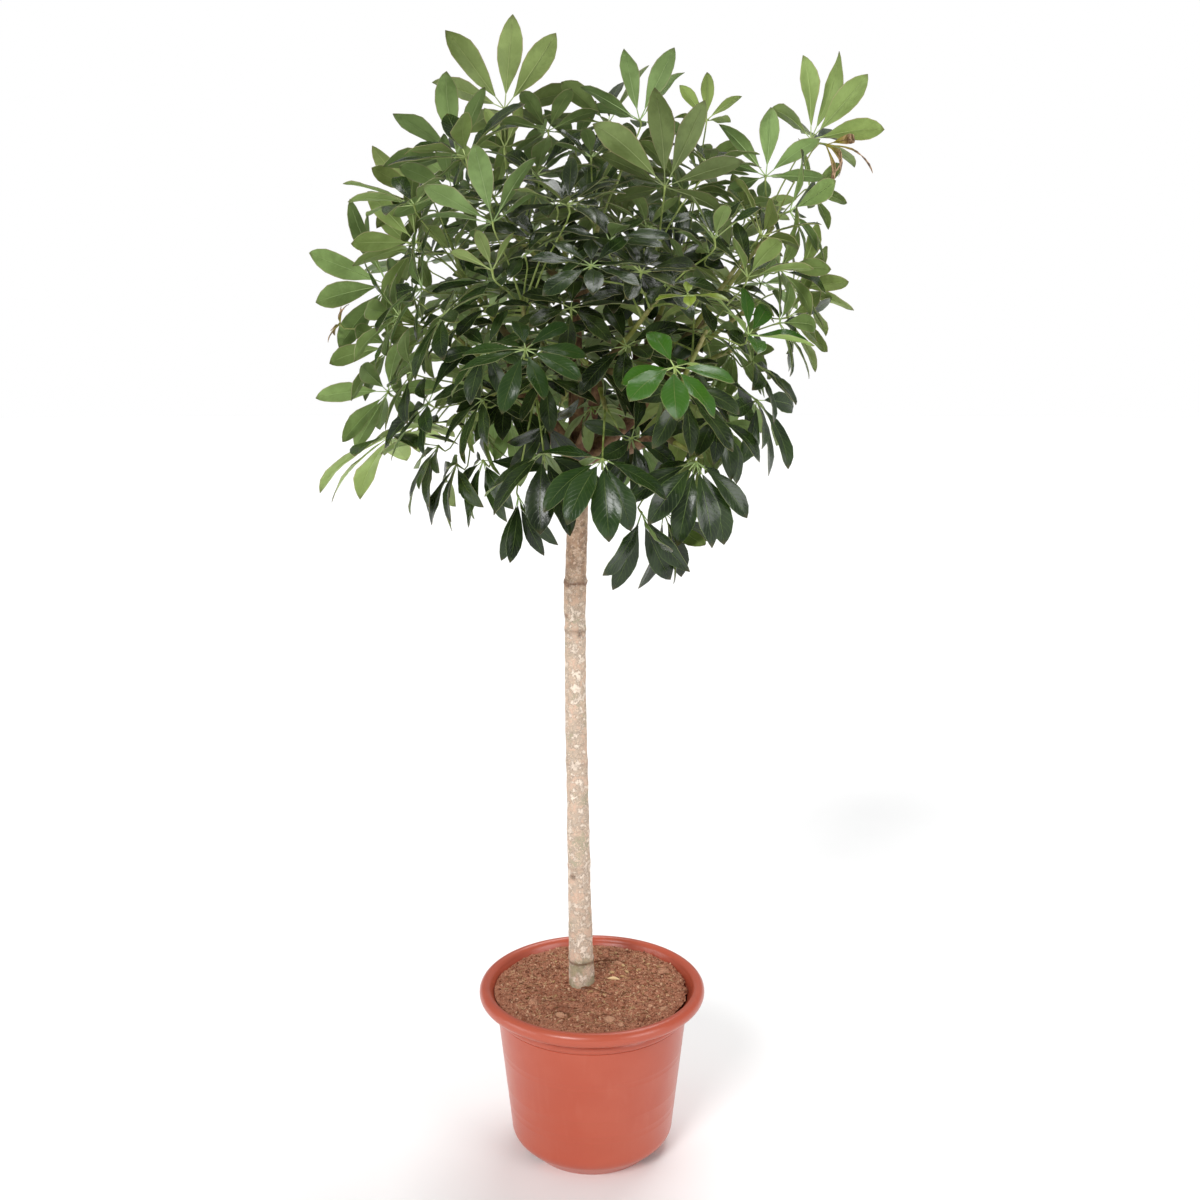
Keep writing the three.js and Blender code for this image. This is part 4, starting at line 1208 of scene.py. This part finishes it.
def leafy_stem(stem, leaf_material):
    """A green shoot with a bud at its tip, and its stalked leaves."""
    rng = random.Random(stem["id"])
    bunch = Bunch(*LEAF_MARKS)
    foot, tip = stem["foot"], stem["tip"]
    bud = tip + unit(tip - foot) * SHOOT_POINT
    line = curve([foot, (foot + tip) / 2, tip, bud], STEM["steps"])
    radii = spread(SHOOT_RADII, STEM["steps"])
    radii = radii * np.array([rng.uniform(0.94, 1.1) for _ in radii])
    bunch.add(STEM, bent_rod(STEM, line, radii), stalk=1, tone=-0.6, withered=0.4)
    for leaf in stem["leaves"]:
        if len(leaf["lines"]) < FEWEST_LEAFLETS:
            continue
        row, aside = leaf["id"], abs(leaf["hub"][0] - CROWN_MIDDLE[0]) / CROWN_REACH[0]
        # painted light: the further a leaf stands to either side, the paler its tone, for the light from
        # the sides
        painted_light = PAINTED_SIDE_LIGHT * (aside - 0.4)
        marks = {
            "young": YOUNG.get(row, 0.12 * rng.random()),
            "withered": WITHERED.get(row, 0.0),
            "tone": rng.uniform(-LEAF_VARIETY, LEAF_VARIETY) + painted_light + TONES_AND_SIDE_LIGHT.get(row, 0),
            "olive": rng.uniform(-1, 1),
        }
        add_stalk(bunch, leaf, rng, {**marks, "withered": 0.15 * marks["withered"]})
        for line in leaf["lines"]:
            add_leaflet(bunch, line, rng, marks)
    node = f"leafy_stem_{stem['id'] - FIRST_STEM + 1:02d}"
    add_to_plant(bunch.piece(f"{node}_leaves", leaf_material), "leaf", node)


# ---- The trunk ----------------------------------------------------------------------------------

TRUNK_STEPS, LIMB_STEPS, TWIG_STEPS = 300, 16, 7
RING_SCARS = (  # height, how proud, and how dark
    (923, 2.2, 1), (850, 1.1, 0.6), (640, 0.5, 0.3), (470, 0.5, 0.3), (314, 0.7, 1),
)
KNOTS = ((843, 25), (456, -30), (705, 150), (560, 235))  # height, and bearing from the front
SCAR_REACH, SCAR_LINE, SCAR_SWAY = 3.5, 2.4, 3  # how far up and down a scar swells, darkens and wanders
KNOT_HIGH, KNOT_WIDE = 5, 20  # millimetres, and degrees around
TRUNK_SKIN = ((0.9, (1, 1, 0.6), 14), (0.35, (1, 1, 1), 4))  # lumps: how proud, how stretched, how large
FLAP = {"from": 871, "to": 923, "bearing": -75, "half": 34, "proud": 1.3}  # a strip of loose bark
TRUNK_SIDES, LIMB_SIDES, TWIG_SIDES = 30, 14, 9
LIMB_SKIN, TWIG_SKIN = [12.5, 11, 9.5, 8.5, 7.5, 5.5], [6.4, 5.6, 4.8]  # radii
LIMB_LUMPS, TWIG_LUMPS = 0.12, 0.1
TWIG_RISE = 3
SOFTEN = 10  # how many rings to each side the trunk's line and thickness are averaged over


def trunk_marks(at, middle):
    """How proud the trunk's skin is and how dark a scar it bears, at points around it."""
    bearing = np.degrees(np.arctan2(at[:, 0] - middle[:, 0], -(at[:, 1] - middle[:, 1])))
    height = at[:, 2]
    uneven = rough(at * (1, 1, 0.02), 9)
    proud, scar = np.zeros(len(at)), np.zeros(len(at))
    for level, size_of, dark in RING_SCARS:
        above = height - level
        proud += np.exp(-(((above - SCAR_SWAY / 2 * uneven) / SCAR_REACH) ** 2)) * size_of
        line = np.exp(-(((above + 3 - SCAR_SWAY * uneven) / SCAR_LINE) ** 2))
        scar = np.maximum(scar, line * dark)
    for level, way in KNOTS:
        turn = (bearing - way + 180) % 360 - 180
        far = np.hypot((height - level) / KNOT_HIGH, turn / KNOT_WIDE)
        proud += 1.6 * np.exp(-(far**2)) - 1.2 * np.exp(-((far * 2.5) ** 2))
        scar = np.maximum(scar, np.exp(-((far * 1.3) ** 2)))
    turn = np.abs((bearing - FLAP["bearing"] + 180) % 360 - 180)
    inside = np.minimum(FLAP["half"] - turn, np.minimum(height - FLAP["from"], FLAP["to"] - height))
    proud += FLAP["proud"] * clamp_all(inside / 4)
    scar = np.maximum(scar, 0.9 * np.exp(-((inside / 3) ** 2)))
    return proud, scar


def add_wood(bunch, pattern, points, radii, lumps, **marks):
    """A limb or twig with an uneven skin."""
    line = curve(points, pattern["steps"])
    middle = bent_rod(pattern, line, np.zeros(pattern["steps"] + 1))
    at = bent_rod(pattern, line, spread(radii, pattern["steps"]))
    bunch.add(pattern, at + (at - middle) * (lumps * rough(at, 16))[:, None], **marks)


def softened(rows):
    """Each value averaged with its neighbours, but for those near the ends."""
    rows = rows.copy()
    window = np.ones(2 * SOFTEN + 1) / (2 * SOFTEN + 1)
    rows[SOFTEN:-SOFTEN] = np.convolve(rows, window, "valid")
    return rows


def add_trunk(bunch, points, radii):
    pattern = rod_pattern(TRUNK_SIDES, TRUNK_STEPS)
    x, y, heights = zip(*points)
    levels = np.linspace(heights[0], heights[-1], TRUNK_STEPS + 1)
    x, y, thick = (softened(np.interp(levels, heights, values)) for values in (x, y, radii))
    line = np.column_stack([x, y, levels])
    middle = bent_rod(pattern, line, np.zeros(TRUNK_STEPS + 1))
    at = bent_rod(pattern, line, thick)
    proud, scar = trunk_marks(at, middle)
    proud += sum(rise * rough(at * stretch, grain) for rise, stretch, grain in TRUNK_SKIN)
    out = at - middle
    out /= np.maximum(1, np.linalg.norm(out, axis=1))[:, None]
    bunch.add(pattern, at + out * proud[:, None], scar=scar)


def trunk_and_limbs(trunk, limbs, stems):
    bunch = Bunch("scar", "green")
    add_trunk(bunch, *trunk)
    limb, twig = rod_pattern(LIMB_SIDES, LIMB_STEPS), rod_pattern(TWIG_SIDES, TWIG_STEPS)
    for points, _ in limbs:
        add_wood(bunch, limb, points, LIMB_SKIN, LIMB_LUMPS)
    for stem in stems:
        green = twig["at"][:, 2] * 0.8
        end, foot = stem["twig"]
        risen = (end + foot) / 2 + UP * TWIG_RISE
        add_wood(bunch, twig, [end, risen, foot], TWIG_SKIN, TWIG_LUMPS, green=green)
    add_to_plant(bunch.piece("trunk_bark", bark_finish()), "bark", "trunk_and_limbs")


# ---- The pot ------------------------------------------------------------------------------------

POT_HEIGHT, RIM_RADIUS, ROLL_RADIUS, ROLL_TALL, WALL = 275, 180, 9.7, 11, 2
WALL_AT_FOOT, WALL_FLARE = 125.5, 0.113
COLLAR_BOTTOM, CORNER_TOP, CORNER = 232, 42, 24
COLLAR = (  # a lip between two grooves: how far above the collar's bottom, and how far proud of the wall
    (-4, 0), (-2.6, -0.1), (-2, -0.9), (-0.9, -1), (-0.3, 1.2), (1, 2.4), (3.5, 2.9), (7, 2.6),
    (9.5, 1.4), (11.5, 0), (13, -1), (16, -1), (19, -0.2), (21, 1.4),
)
PAD, FOOT_OUTER, FOOT_INNER, FOOT_EDGE, FLOOR_BOTTOM, FLOOR_TOP = 30, 100, 91, 0.8, 10, 13
SLOT, SLOT_ROUND, SLOT_AT = (40, 30, 16), 4, (0, -104, 7)  # a drain slot's size, corners and place
SLOT_BEARINGS = (-60, 60, 180)
HOLE_RADIUS, HOLE_DEPTH, HOLE_AT = 6, 12, (0, -60, FLOOR_TOP - 2)
HOLE_BEARINGS = range(30, 390, 60)
RIBS = (176, 166, 112, 85, 73)  # the heights of the faint rings round the wall
RIB_PROUD, RIB_HALF = 0.16, 2.2
POT_SIDES = 144


def wall_radius(height):
    return WALL_AT_FOOT + WALL_FLARE * height


def arc(radius, height, size_of, start, end, steps, tall=None):
    """Points (radius, height) of part of a circle or oval, from one angle to another, in degrees."""
    angles = np.radians(np.linspace(start, end, steps + 1))
    tall = tall or size_of
    return [(radius + size_of * math.cos(a), height + tall * math.sin(a)) for a in angles]


def turned(profile, sides):
    """A profile of radii and heights turned round the upright axis, with faces that point outwards."""
    bm = bmesh.new()
    chain = [bm.verts.new((r, 0, z)) for r, z in profile]
    edges = [bm.edges.new(pair) for pair in zip(chain, chain[1:])]
    bmesh.ops.spin(bm, geom=chain + edges, cent=(0, 0, 0), axis=(0, 0, 1), angle=FULL_TURN,
                   steps=sides, use_merge=True)
    bmesh.ops.remove_doubles(bm, verts=bm.verts, dist=0.001)
    bmesh.ops.recalc_face_normals(bm, faces=bm.faces)
    return bm


def pot_profile():
    wall = []
    for level in sorted(RIBS):
        for rise in np.linspace(-1, 1, 5):
            height = level + rise * RIB_HALF
            wall.append((wall_radius(height) + RIB_PROUD * (1 - rise * rise), height))
    corner_at = wall_radius(CORNER_TOP) - CORNER, CORNER_TOP - 2
    inside = [(wall_radius(z) - WALL, z) for z in (245, 180, 110)]
    return [
        (0, 0), (PAD, 0), (PAD + 1, FLOOR_BOTTOM), (FOOT_INNER, FLOOR_BOTTOM), (FOOT_INNER, 0.6),
        (FOOT_INNER + FOOT_EDGE, 0), (FOOT_OUTER - FOOT_EDGE, 0), (FOOT_OUTER, FOOT_EDGE),
        *arc(*corner_at, CORNER, -45, 0, 7),
        *wall,
        *[(wall_radius(COLLAR_BOTTOM + rise) + proud, COLLAR_BOTTOM + rise) for rise, proud in COLLAR],
        *arc(RIM_RADIUS - ROLL_RADIUS, POT_HEIGHT - ROLL_TALL, ROLL_RADIUS, -110, 170, 26, ROLL_TALL),
        (wall_radius(250) - WALL + 1.5, 258),
        *inside,
        *arc(*corner_at, CORNER - WALL, 0, -80, 8),
        (FOOT_OUTER - 8, FLOOR_TOP), (0, FLOOR_TOP),
    ]


def cutter(bm, place, bearing):
    bmesh.ops.translate(bm, vec=place, verts=bm.verts)
    bmesh.ops.rotate(bm, verts=bm.verts, matrix=Matrix.Rotation(math.radians(bearing), 3, "Z"))
    bmesh.ops.scale(bm, vec=(MM, MM, MM), verts=bm.verts)
    return new_piece("cutter", bm, bpy.data.materials[0])


def drain_cutters():
    """Three slots through the foot and corner, and six round holes in the floor."""
    for bearing in SLOT_BEARINGS:
        bm = bmesh.new()
        bmesh.ops.create_cube(bm, size=1)
        bmesh.ops.scale(bm, vec=SLOT, verts=bm.verts)
        inward = [e for e in bm.edges if abs(e.verts[0].co.y - e.verts[1].co.y) > 1]
        bmesh.ops.bevel(bm, geom=inward, offset=SLOT_ROUND, segments=4, affect="EDGES", profile=0.5,
                        material=-1)
        yield cutter(bm, SLOT_AT, bearing)
    for bearing in HOLE_BEARINGS:
        bm = bmesh.new()
        bmesh.ops.create_cone(bm, cap_ends=True, segments=24, radius1=HOLE_RADIUS, radius2=HOLE_RADIUS,
                              depth=HOLE_DEPTH)
        yield cutter(bm, HOLE_AT, bearing)


def pot():
    """The turned shell, cut through by its drain slots and holes."""
    bm = turned(pot_profile(), POT_SIDES)
    bmesh.ops.scale(bm, vec=(MM, MM, MM), verts=bm.verts)
    piece = new_piece("pot_shell", bm, pot_finish())
    cutters = list(drain_cutters())
    for tool in cutters:
        cut = piece.modifiers.new("drain", "BOOLEAN")
        cut.operation, cut.solver, cut.object = "DIFFERENCE", "EXACT", tool
    shape = piece.evaluated_get(bpy.context.evaluated_depsgraph_get())
    bm = bmesh.new()
    bm.from_mesh(bpy.data.meshes.new_from_object(shape))
    piece.modifiers.clear()
    for tool in cutters:
        bpy.data.objects.remove(tool)
    smooth(bm, 42)
    bm.to_mesh(piece.data)
    bm.free()
    add_to_plant(piece, "pot_plastic", "pot")


# ---- The soil -----------------------------------------------------------------------------------

SOIL_TOP = ((0, 272), (34, 271), (64, 270), (108, 268), (148, 266), (156, 263.6), (157, 263))
SOIL_SIDES, SOIL_ROWS, SOIL_GAP = 330, 100, 0.9  # the gap is to the pot's wall
SOIL_BOTTOM = [(0, 13.4), (84, 13.4), (104, 20), (118, 34)]  # radius and height
SOIL_LUMPS = ((2.4, 0, 22, 3), (1.6, 400, 7, 3), (0.8, 900, 3, 2))  # rise, shift, size and octaves
HEAP_RISE, HEAP_REACH = 6, 12
# Where and how far the soil has drawn back from the wall: mostly high up, at the rim and on the right.
DRAWN_FROM, DRAWN_OVER, DRAWN_ABOVE, DRAWN_UP, DRAWN_SIDE = 110, 45, 150, 90, 0.7
LEAST_DRAWN, MORE_DRAWN = 0.004, 0.036
TRUNK_FOOT = -16  # how far sideways the trunk comes out of the soil
HEAP = np.array([6, -21, 0])  # where the soil is heaped against the foot of the trunk
CRUMBS, CLODS, FIBRES, CHIPS = 5200, 40, 1000, 46
CRUMB_REACH, CLOD_REACH, FIBRE_REACH, CHIP_REACH = 151, 138, 140, 135  # how far from the middle they lie
CRUMB_TONES, CLOD_TONES = (-0.6, -0.3, 0, 0, 0.15, 0.35, 0.8), (-0.3, 0, 0.2, 0.35)
FIBRE_TONES, CHIP_TONES = (-1, -0.7, -0.3, 0.3, 0.8), (-0.8, -0.3, 0, 0.3)
FIBRE_RADII, CHIP_SHAPE = [0.1, 0.3, 0.36, 0.34, 0.3, 0.1], np.array([0.3, 1, 1.1, 0.8, 0.2])
# Single bits: how far above the soil their middle lies, their line, their radii and their tone.
SEED_LEAF = (2.5, ((25, 7), (35, 13), (45, 10)), [0.5, 2.6, 3.6, 2.4, 0.4], 1)
FALLEN_TWIG = (2.2, ((-17, -24), (-5, -26), (12, -34), (33, -45)), [1.2, 1.5, 1.4, 1.3, 1.1, 0.6], -1)
BARE_ROOT = (1.8, ((4, 78), (26, 84), (54, 77)), [0.8, 1, 1, 0.9, 0.8, 0.4], -1)


def soil_height(x, y):
    return np.interp(np.hypot(x, y), *zip(*SOIL_TOP))


def shrunk(at):
    """The share by which the soil has drawn back from the wall, mostly on the right."""
    out = clamp_all((np.hypot(at[:, 0], at[:, 1]) - DRAWN_FROM) / DRAWN_OVER)
    edge = out * clamp_all((at[:, 2] - DRAWN_ABOVE) / DRAWN_UP)
    right = np.exp(-((np.arctan2(at[:, 1], at[:, 0]) / DRAWN_SIDE) ** 2))
    uneven = 1 + 0.8 * rough(at * (1, 1, 0), 24)
    return edge * (LEAST_DRAWN + MORE_DRAWN * right) * uneven


def lumps(at):
    """How far the soil's skin rises and falls at each point."""
    heap = HEAP_RISE * np.exp(-(((at - HEAP)[:, :2] / HEAP_REACH) ** 2).sum(1))
    return heap + sum(rise * rough(at + shift, grain, fine) for rise, shift, grain, fine in SOIL_LUMPS)


def soil_bed():
    """The body of the soil, seated on the pot's floor and wall, with its uneven top."""
    rows = [(r, soil_height(r, 0)) for r in np.linspace(0, SOIL_TOP[-1][0], SOIL_ROWS)]
    low = wall_radius(60) - WALL - SOIL_GAP
    high = wall_radius(257) - WALL - SOIL_GAP - 0.5
    bm = turned([*SOIL_BOTTOM, (low - 1, 50), (low, 60), (high, 257), *rows[::-1]], SOIL_SIDES)
    smooth(bm, 80)
    bed = pattern_of(bm)
    at = bed["at"]
    top = clamp_all((at[:, 2] - 258) / 4)
    shift = np.zeros_like(at)
    shift[:, 2] = np.where(top > 0, lumps(at), 0) * top
    shift[:, :2] -= at[:, :2] * shrunk(at)[:, None]
    return bed, at + shift


def on_soil(x, y, above):
    """A point above the uneven top of the soil."""
    spot = np.array([x, y, soil_height(x, y)])
    return spot + UP * (lumps(spot[None])[0] + above)


def strewn(rng, reach):
    """A place on the soil, as likely anywhere."""
    way, far = rng.uniform(0, FULL_TURN), reach * math.sqrt(rng.random())
    return far * math.cos(way), far * math.sin(way)


def from_trunk(x, y):
    return math.hypot(x - TRUNK_FOOT, y)


def turned_about_up(angle):
    ahead, aside = math.cos(angle), math.sin(angle)
    return np.array([[ahead, aside, 0], [-aside, ahead, 0], [0, 0, 1]])


def random_turn(rng):
    """Three directions at right angles to each other, turned at random."""
    first = unit(np.array([rng.gauss(0, 1) for _ in range(3)]))
    second = unit(cross(first, unit(np.array([rng.gauss(0, 1) for _ in range(3)]))))
    return np.array([first, second, cross(first, second)])


def strew_crumbs(bunch, rng):
    crumb = ball_pattern(1)
    for _ in range(CRUMBS):
        x, y = strewn(rng, CRUMB_REACH)
        big = 0.6 + 2.0 * rng.random() ** 3
        spot = on_soil(x, y, big * 0.35)
        sizes = big * np.array([rng.uniform(0.7, 1.4), rng.uniform(0.6, 1.1), rng.uniform(0.5, 0.9)])
        jitter = np.array([[rng.uniform(0.8, 1.2)] for _ in crumb["at"]])
        at = (crumb["at"] * jitter * sizes) @ random_turn(rng) + spot
        bunch.add(crumb, at, tone=rng.choice(CRUMB_TONES))


def strew_clods(bunch, rng):
    """Larger ragged lumps, half sunk, off the trunk's foot."""
    clod = ball_pattern(2)
    for _ in range(CLODS):
        x, y = strewn(rng, CLOD_REACH)
        big = 3 + 8 * rng.random() ** 2
        if from_trunk(x, y) < 26 + big:
            continue
        spot = np.array([x, y, 0.0])
        spot[2] = soil_height(x, y) + lumps(spot[None])[0] + 0.1 * big
        squat = clod["at"] * (1, rng.uniform(0.6, 1), 0.45)
        at = squat @ turned_about_up(rng.uniform(0, 6.28)) * big + spot
        ragged = rough(at, 0.5 * big)[:, None] * 0.35 + rough(at, 2.2)[:, None] * 0.25
        bunch.add(clod, at + (at - spot) * ragged, tone=rng.choice(CLOD_TONES))


def soil():
    rng = random.Random(7)
    bunch = Bunch("tone")
    bunch.add(*soil_bed())
    strew_crumbs(bunch, rng)
    strew_clods(bunch, rng)
    add_to_plant(bunch.piece("soil_bed", soil_finish()), "potting_soil", "soil")


def strew_fibres(bunch, fibre, rng):
    for _ in range(FIBRES):
        x, y = strewn(rng, FIBRE_REACH)
        turn, long, bow = rng.uniform(0, math.pi), rng.uniform(4, 15), rng.uniform(-3, 3)
        ahead, aside = math.cos(turn), math.sin(turn)
        ends = [
            (x - long / 2 * ahead, y - long / 2 * aside), (x + bow * aside, y - bow * ahead),
            (x + long / 2 * ahead, y + long / 2 * aside),
        ]
        if min(from_trunk(*end) for end in ends) < 24:
            continue
        line = curve([on_soil(*end, rng.uniform(0.2, 1.6)) for end in ends], fibre["steps"])
        bunch.add(fibre, bent_rod(fibre, line, FIBRE_RADII), tone=rng.choice(FIBRE_TONES))


def strew_chips(bunch, chip, rng):
    for _ in range(CHIPS):
        x, y = strewn(rng, CHIP_REACH)
        long = rng.uniform(4, 10)
        if from_trunk(x, y) < 28:
            continue
        turn = rng.uniform(0, math.pi)
        ahead, aside = math.cos(turn), math.sin(turn)
        ends = [on_soil(x + half * ahead, y + half * aside, 1.2) for half in (-long / 2, long / 2)]
        radii = rng.uniform(1, 2.2) * CHIP_SHAPE
        at = bent_rod(chip, curve(ends, chip["steps"]), radii)
        bunch.add(chip, at, tone=rng.choice(CHIP_TONES))


def litter():
    """Fibres and thin roots, bark chips, one pale seed leaf, and the twig in front of the trunk."""
    rng = random.Random(11)
    bunch = Bunch("tone")
    fibre, chip = rod_pattern(3, 5), rod_pattern(5, 4)
    strew_fibres(bunch, fibre, rng)
    strew_chips(bunch, chip, rng)
    for pattern, bit in ((chip, SEED_LEAF), (fibre, FALLEN_TWIG), (fibre, BARE_ROOT)):
        above, spots, radii, tone = bit
        line = curve([on_soil(x, y, above) for x, y in spots], pattern["steps"])
        bunch.add(pattern, bent_rod(pattern, line, radii), tone=tone)
    add_to_plant(bunch.piece("soil_litter", litter_finish()), "potting_soil")


# ---- The whole plant ----------------------------------------------------------------------------

set_camera()
lay_floor()
set_light()
BLADE, RIB = leaflet_pattern(), rod_pattern(3, len(MIDRIB) - 1)
STALK, STEM = rod_pattern(5, 8), rod_pattern(8, 12)
trunk, limbs, stems = plan_crown()
pot()
soil()
litter()
trunk_and_limbs(trunk, limbs, stems)
leaf_material = leaf_finish()
for stem in stems:
    leafy_stem(stem, leaf_material)
for mesh in [m for m in bpy.data.meshes if m.name.startswith("pattern")]:
    bpy.data.meshes.remove(mesh)
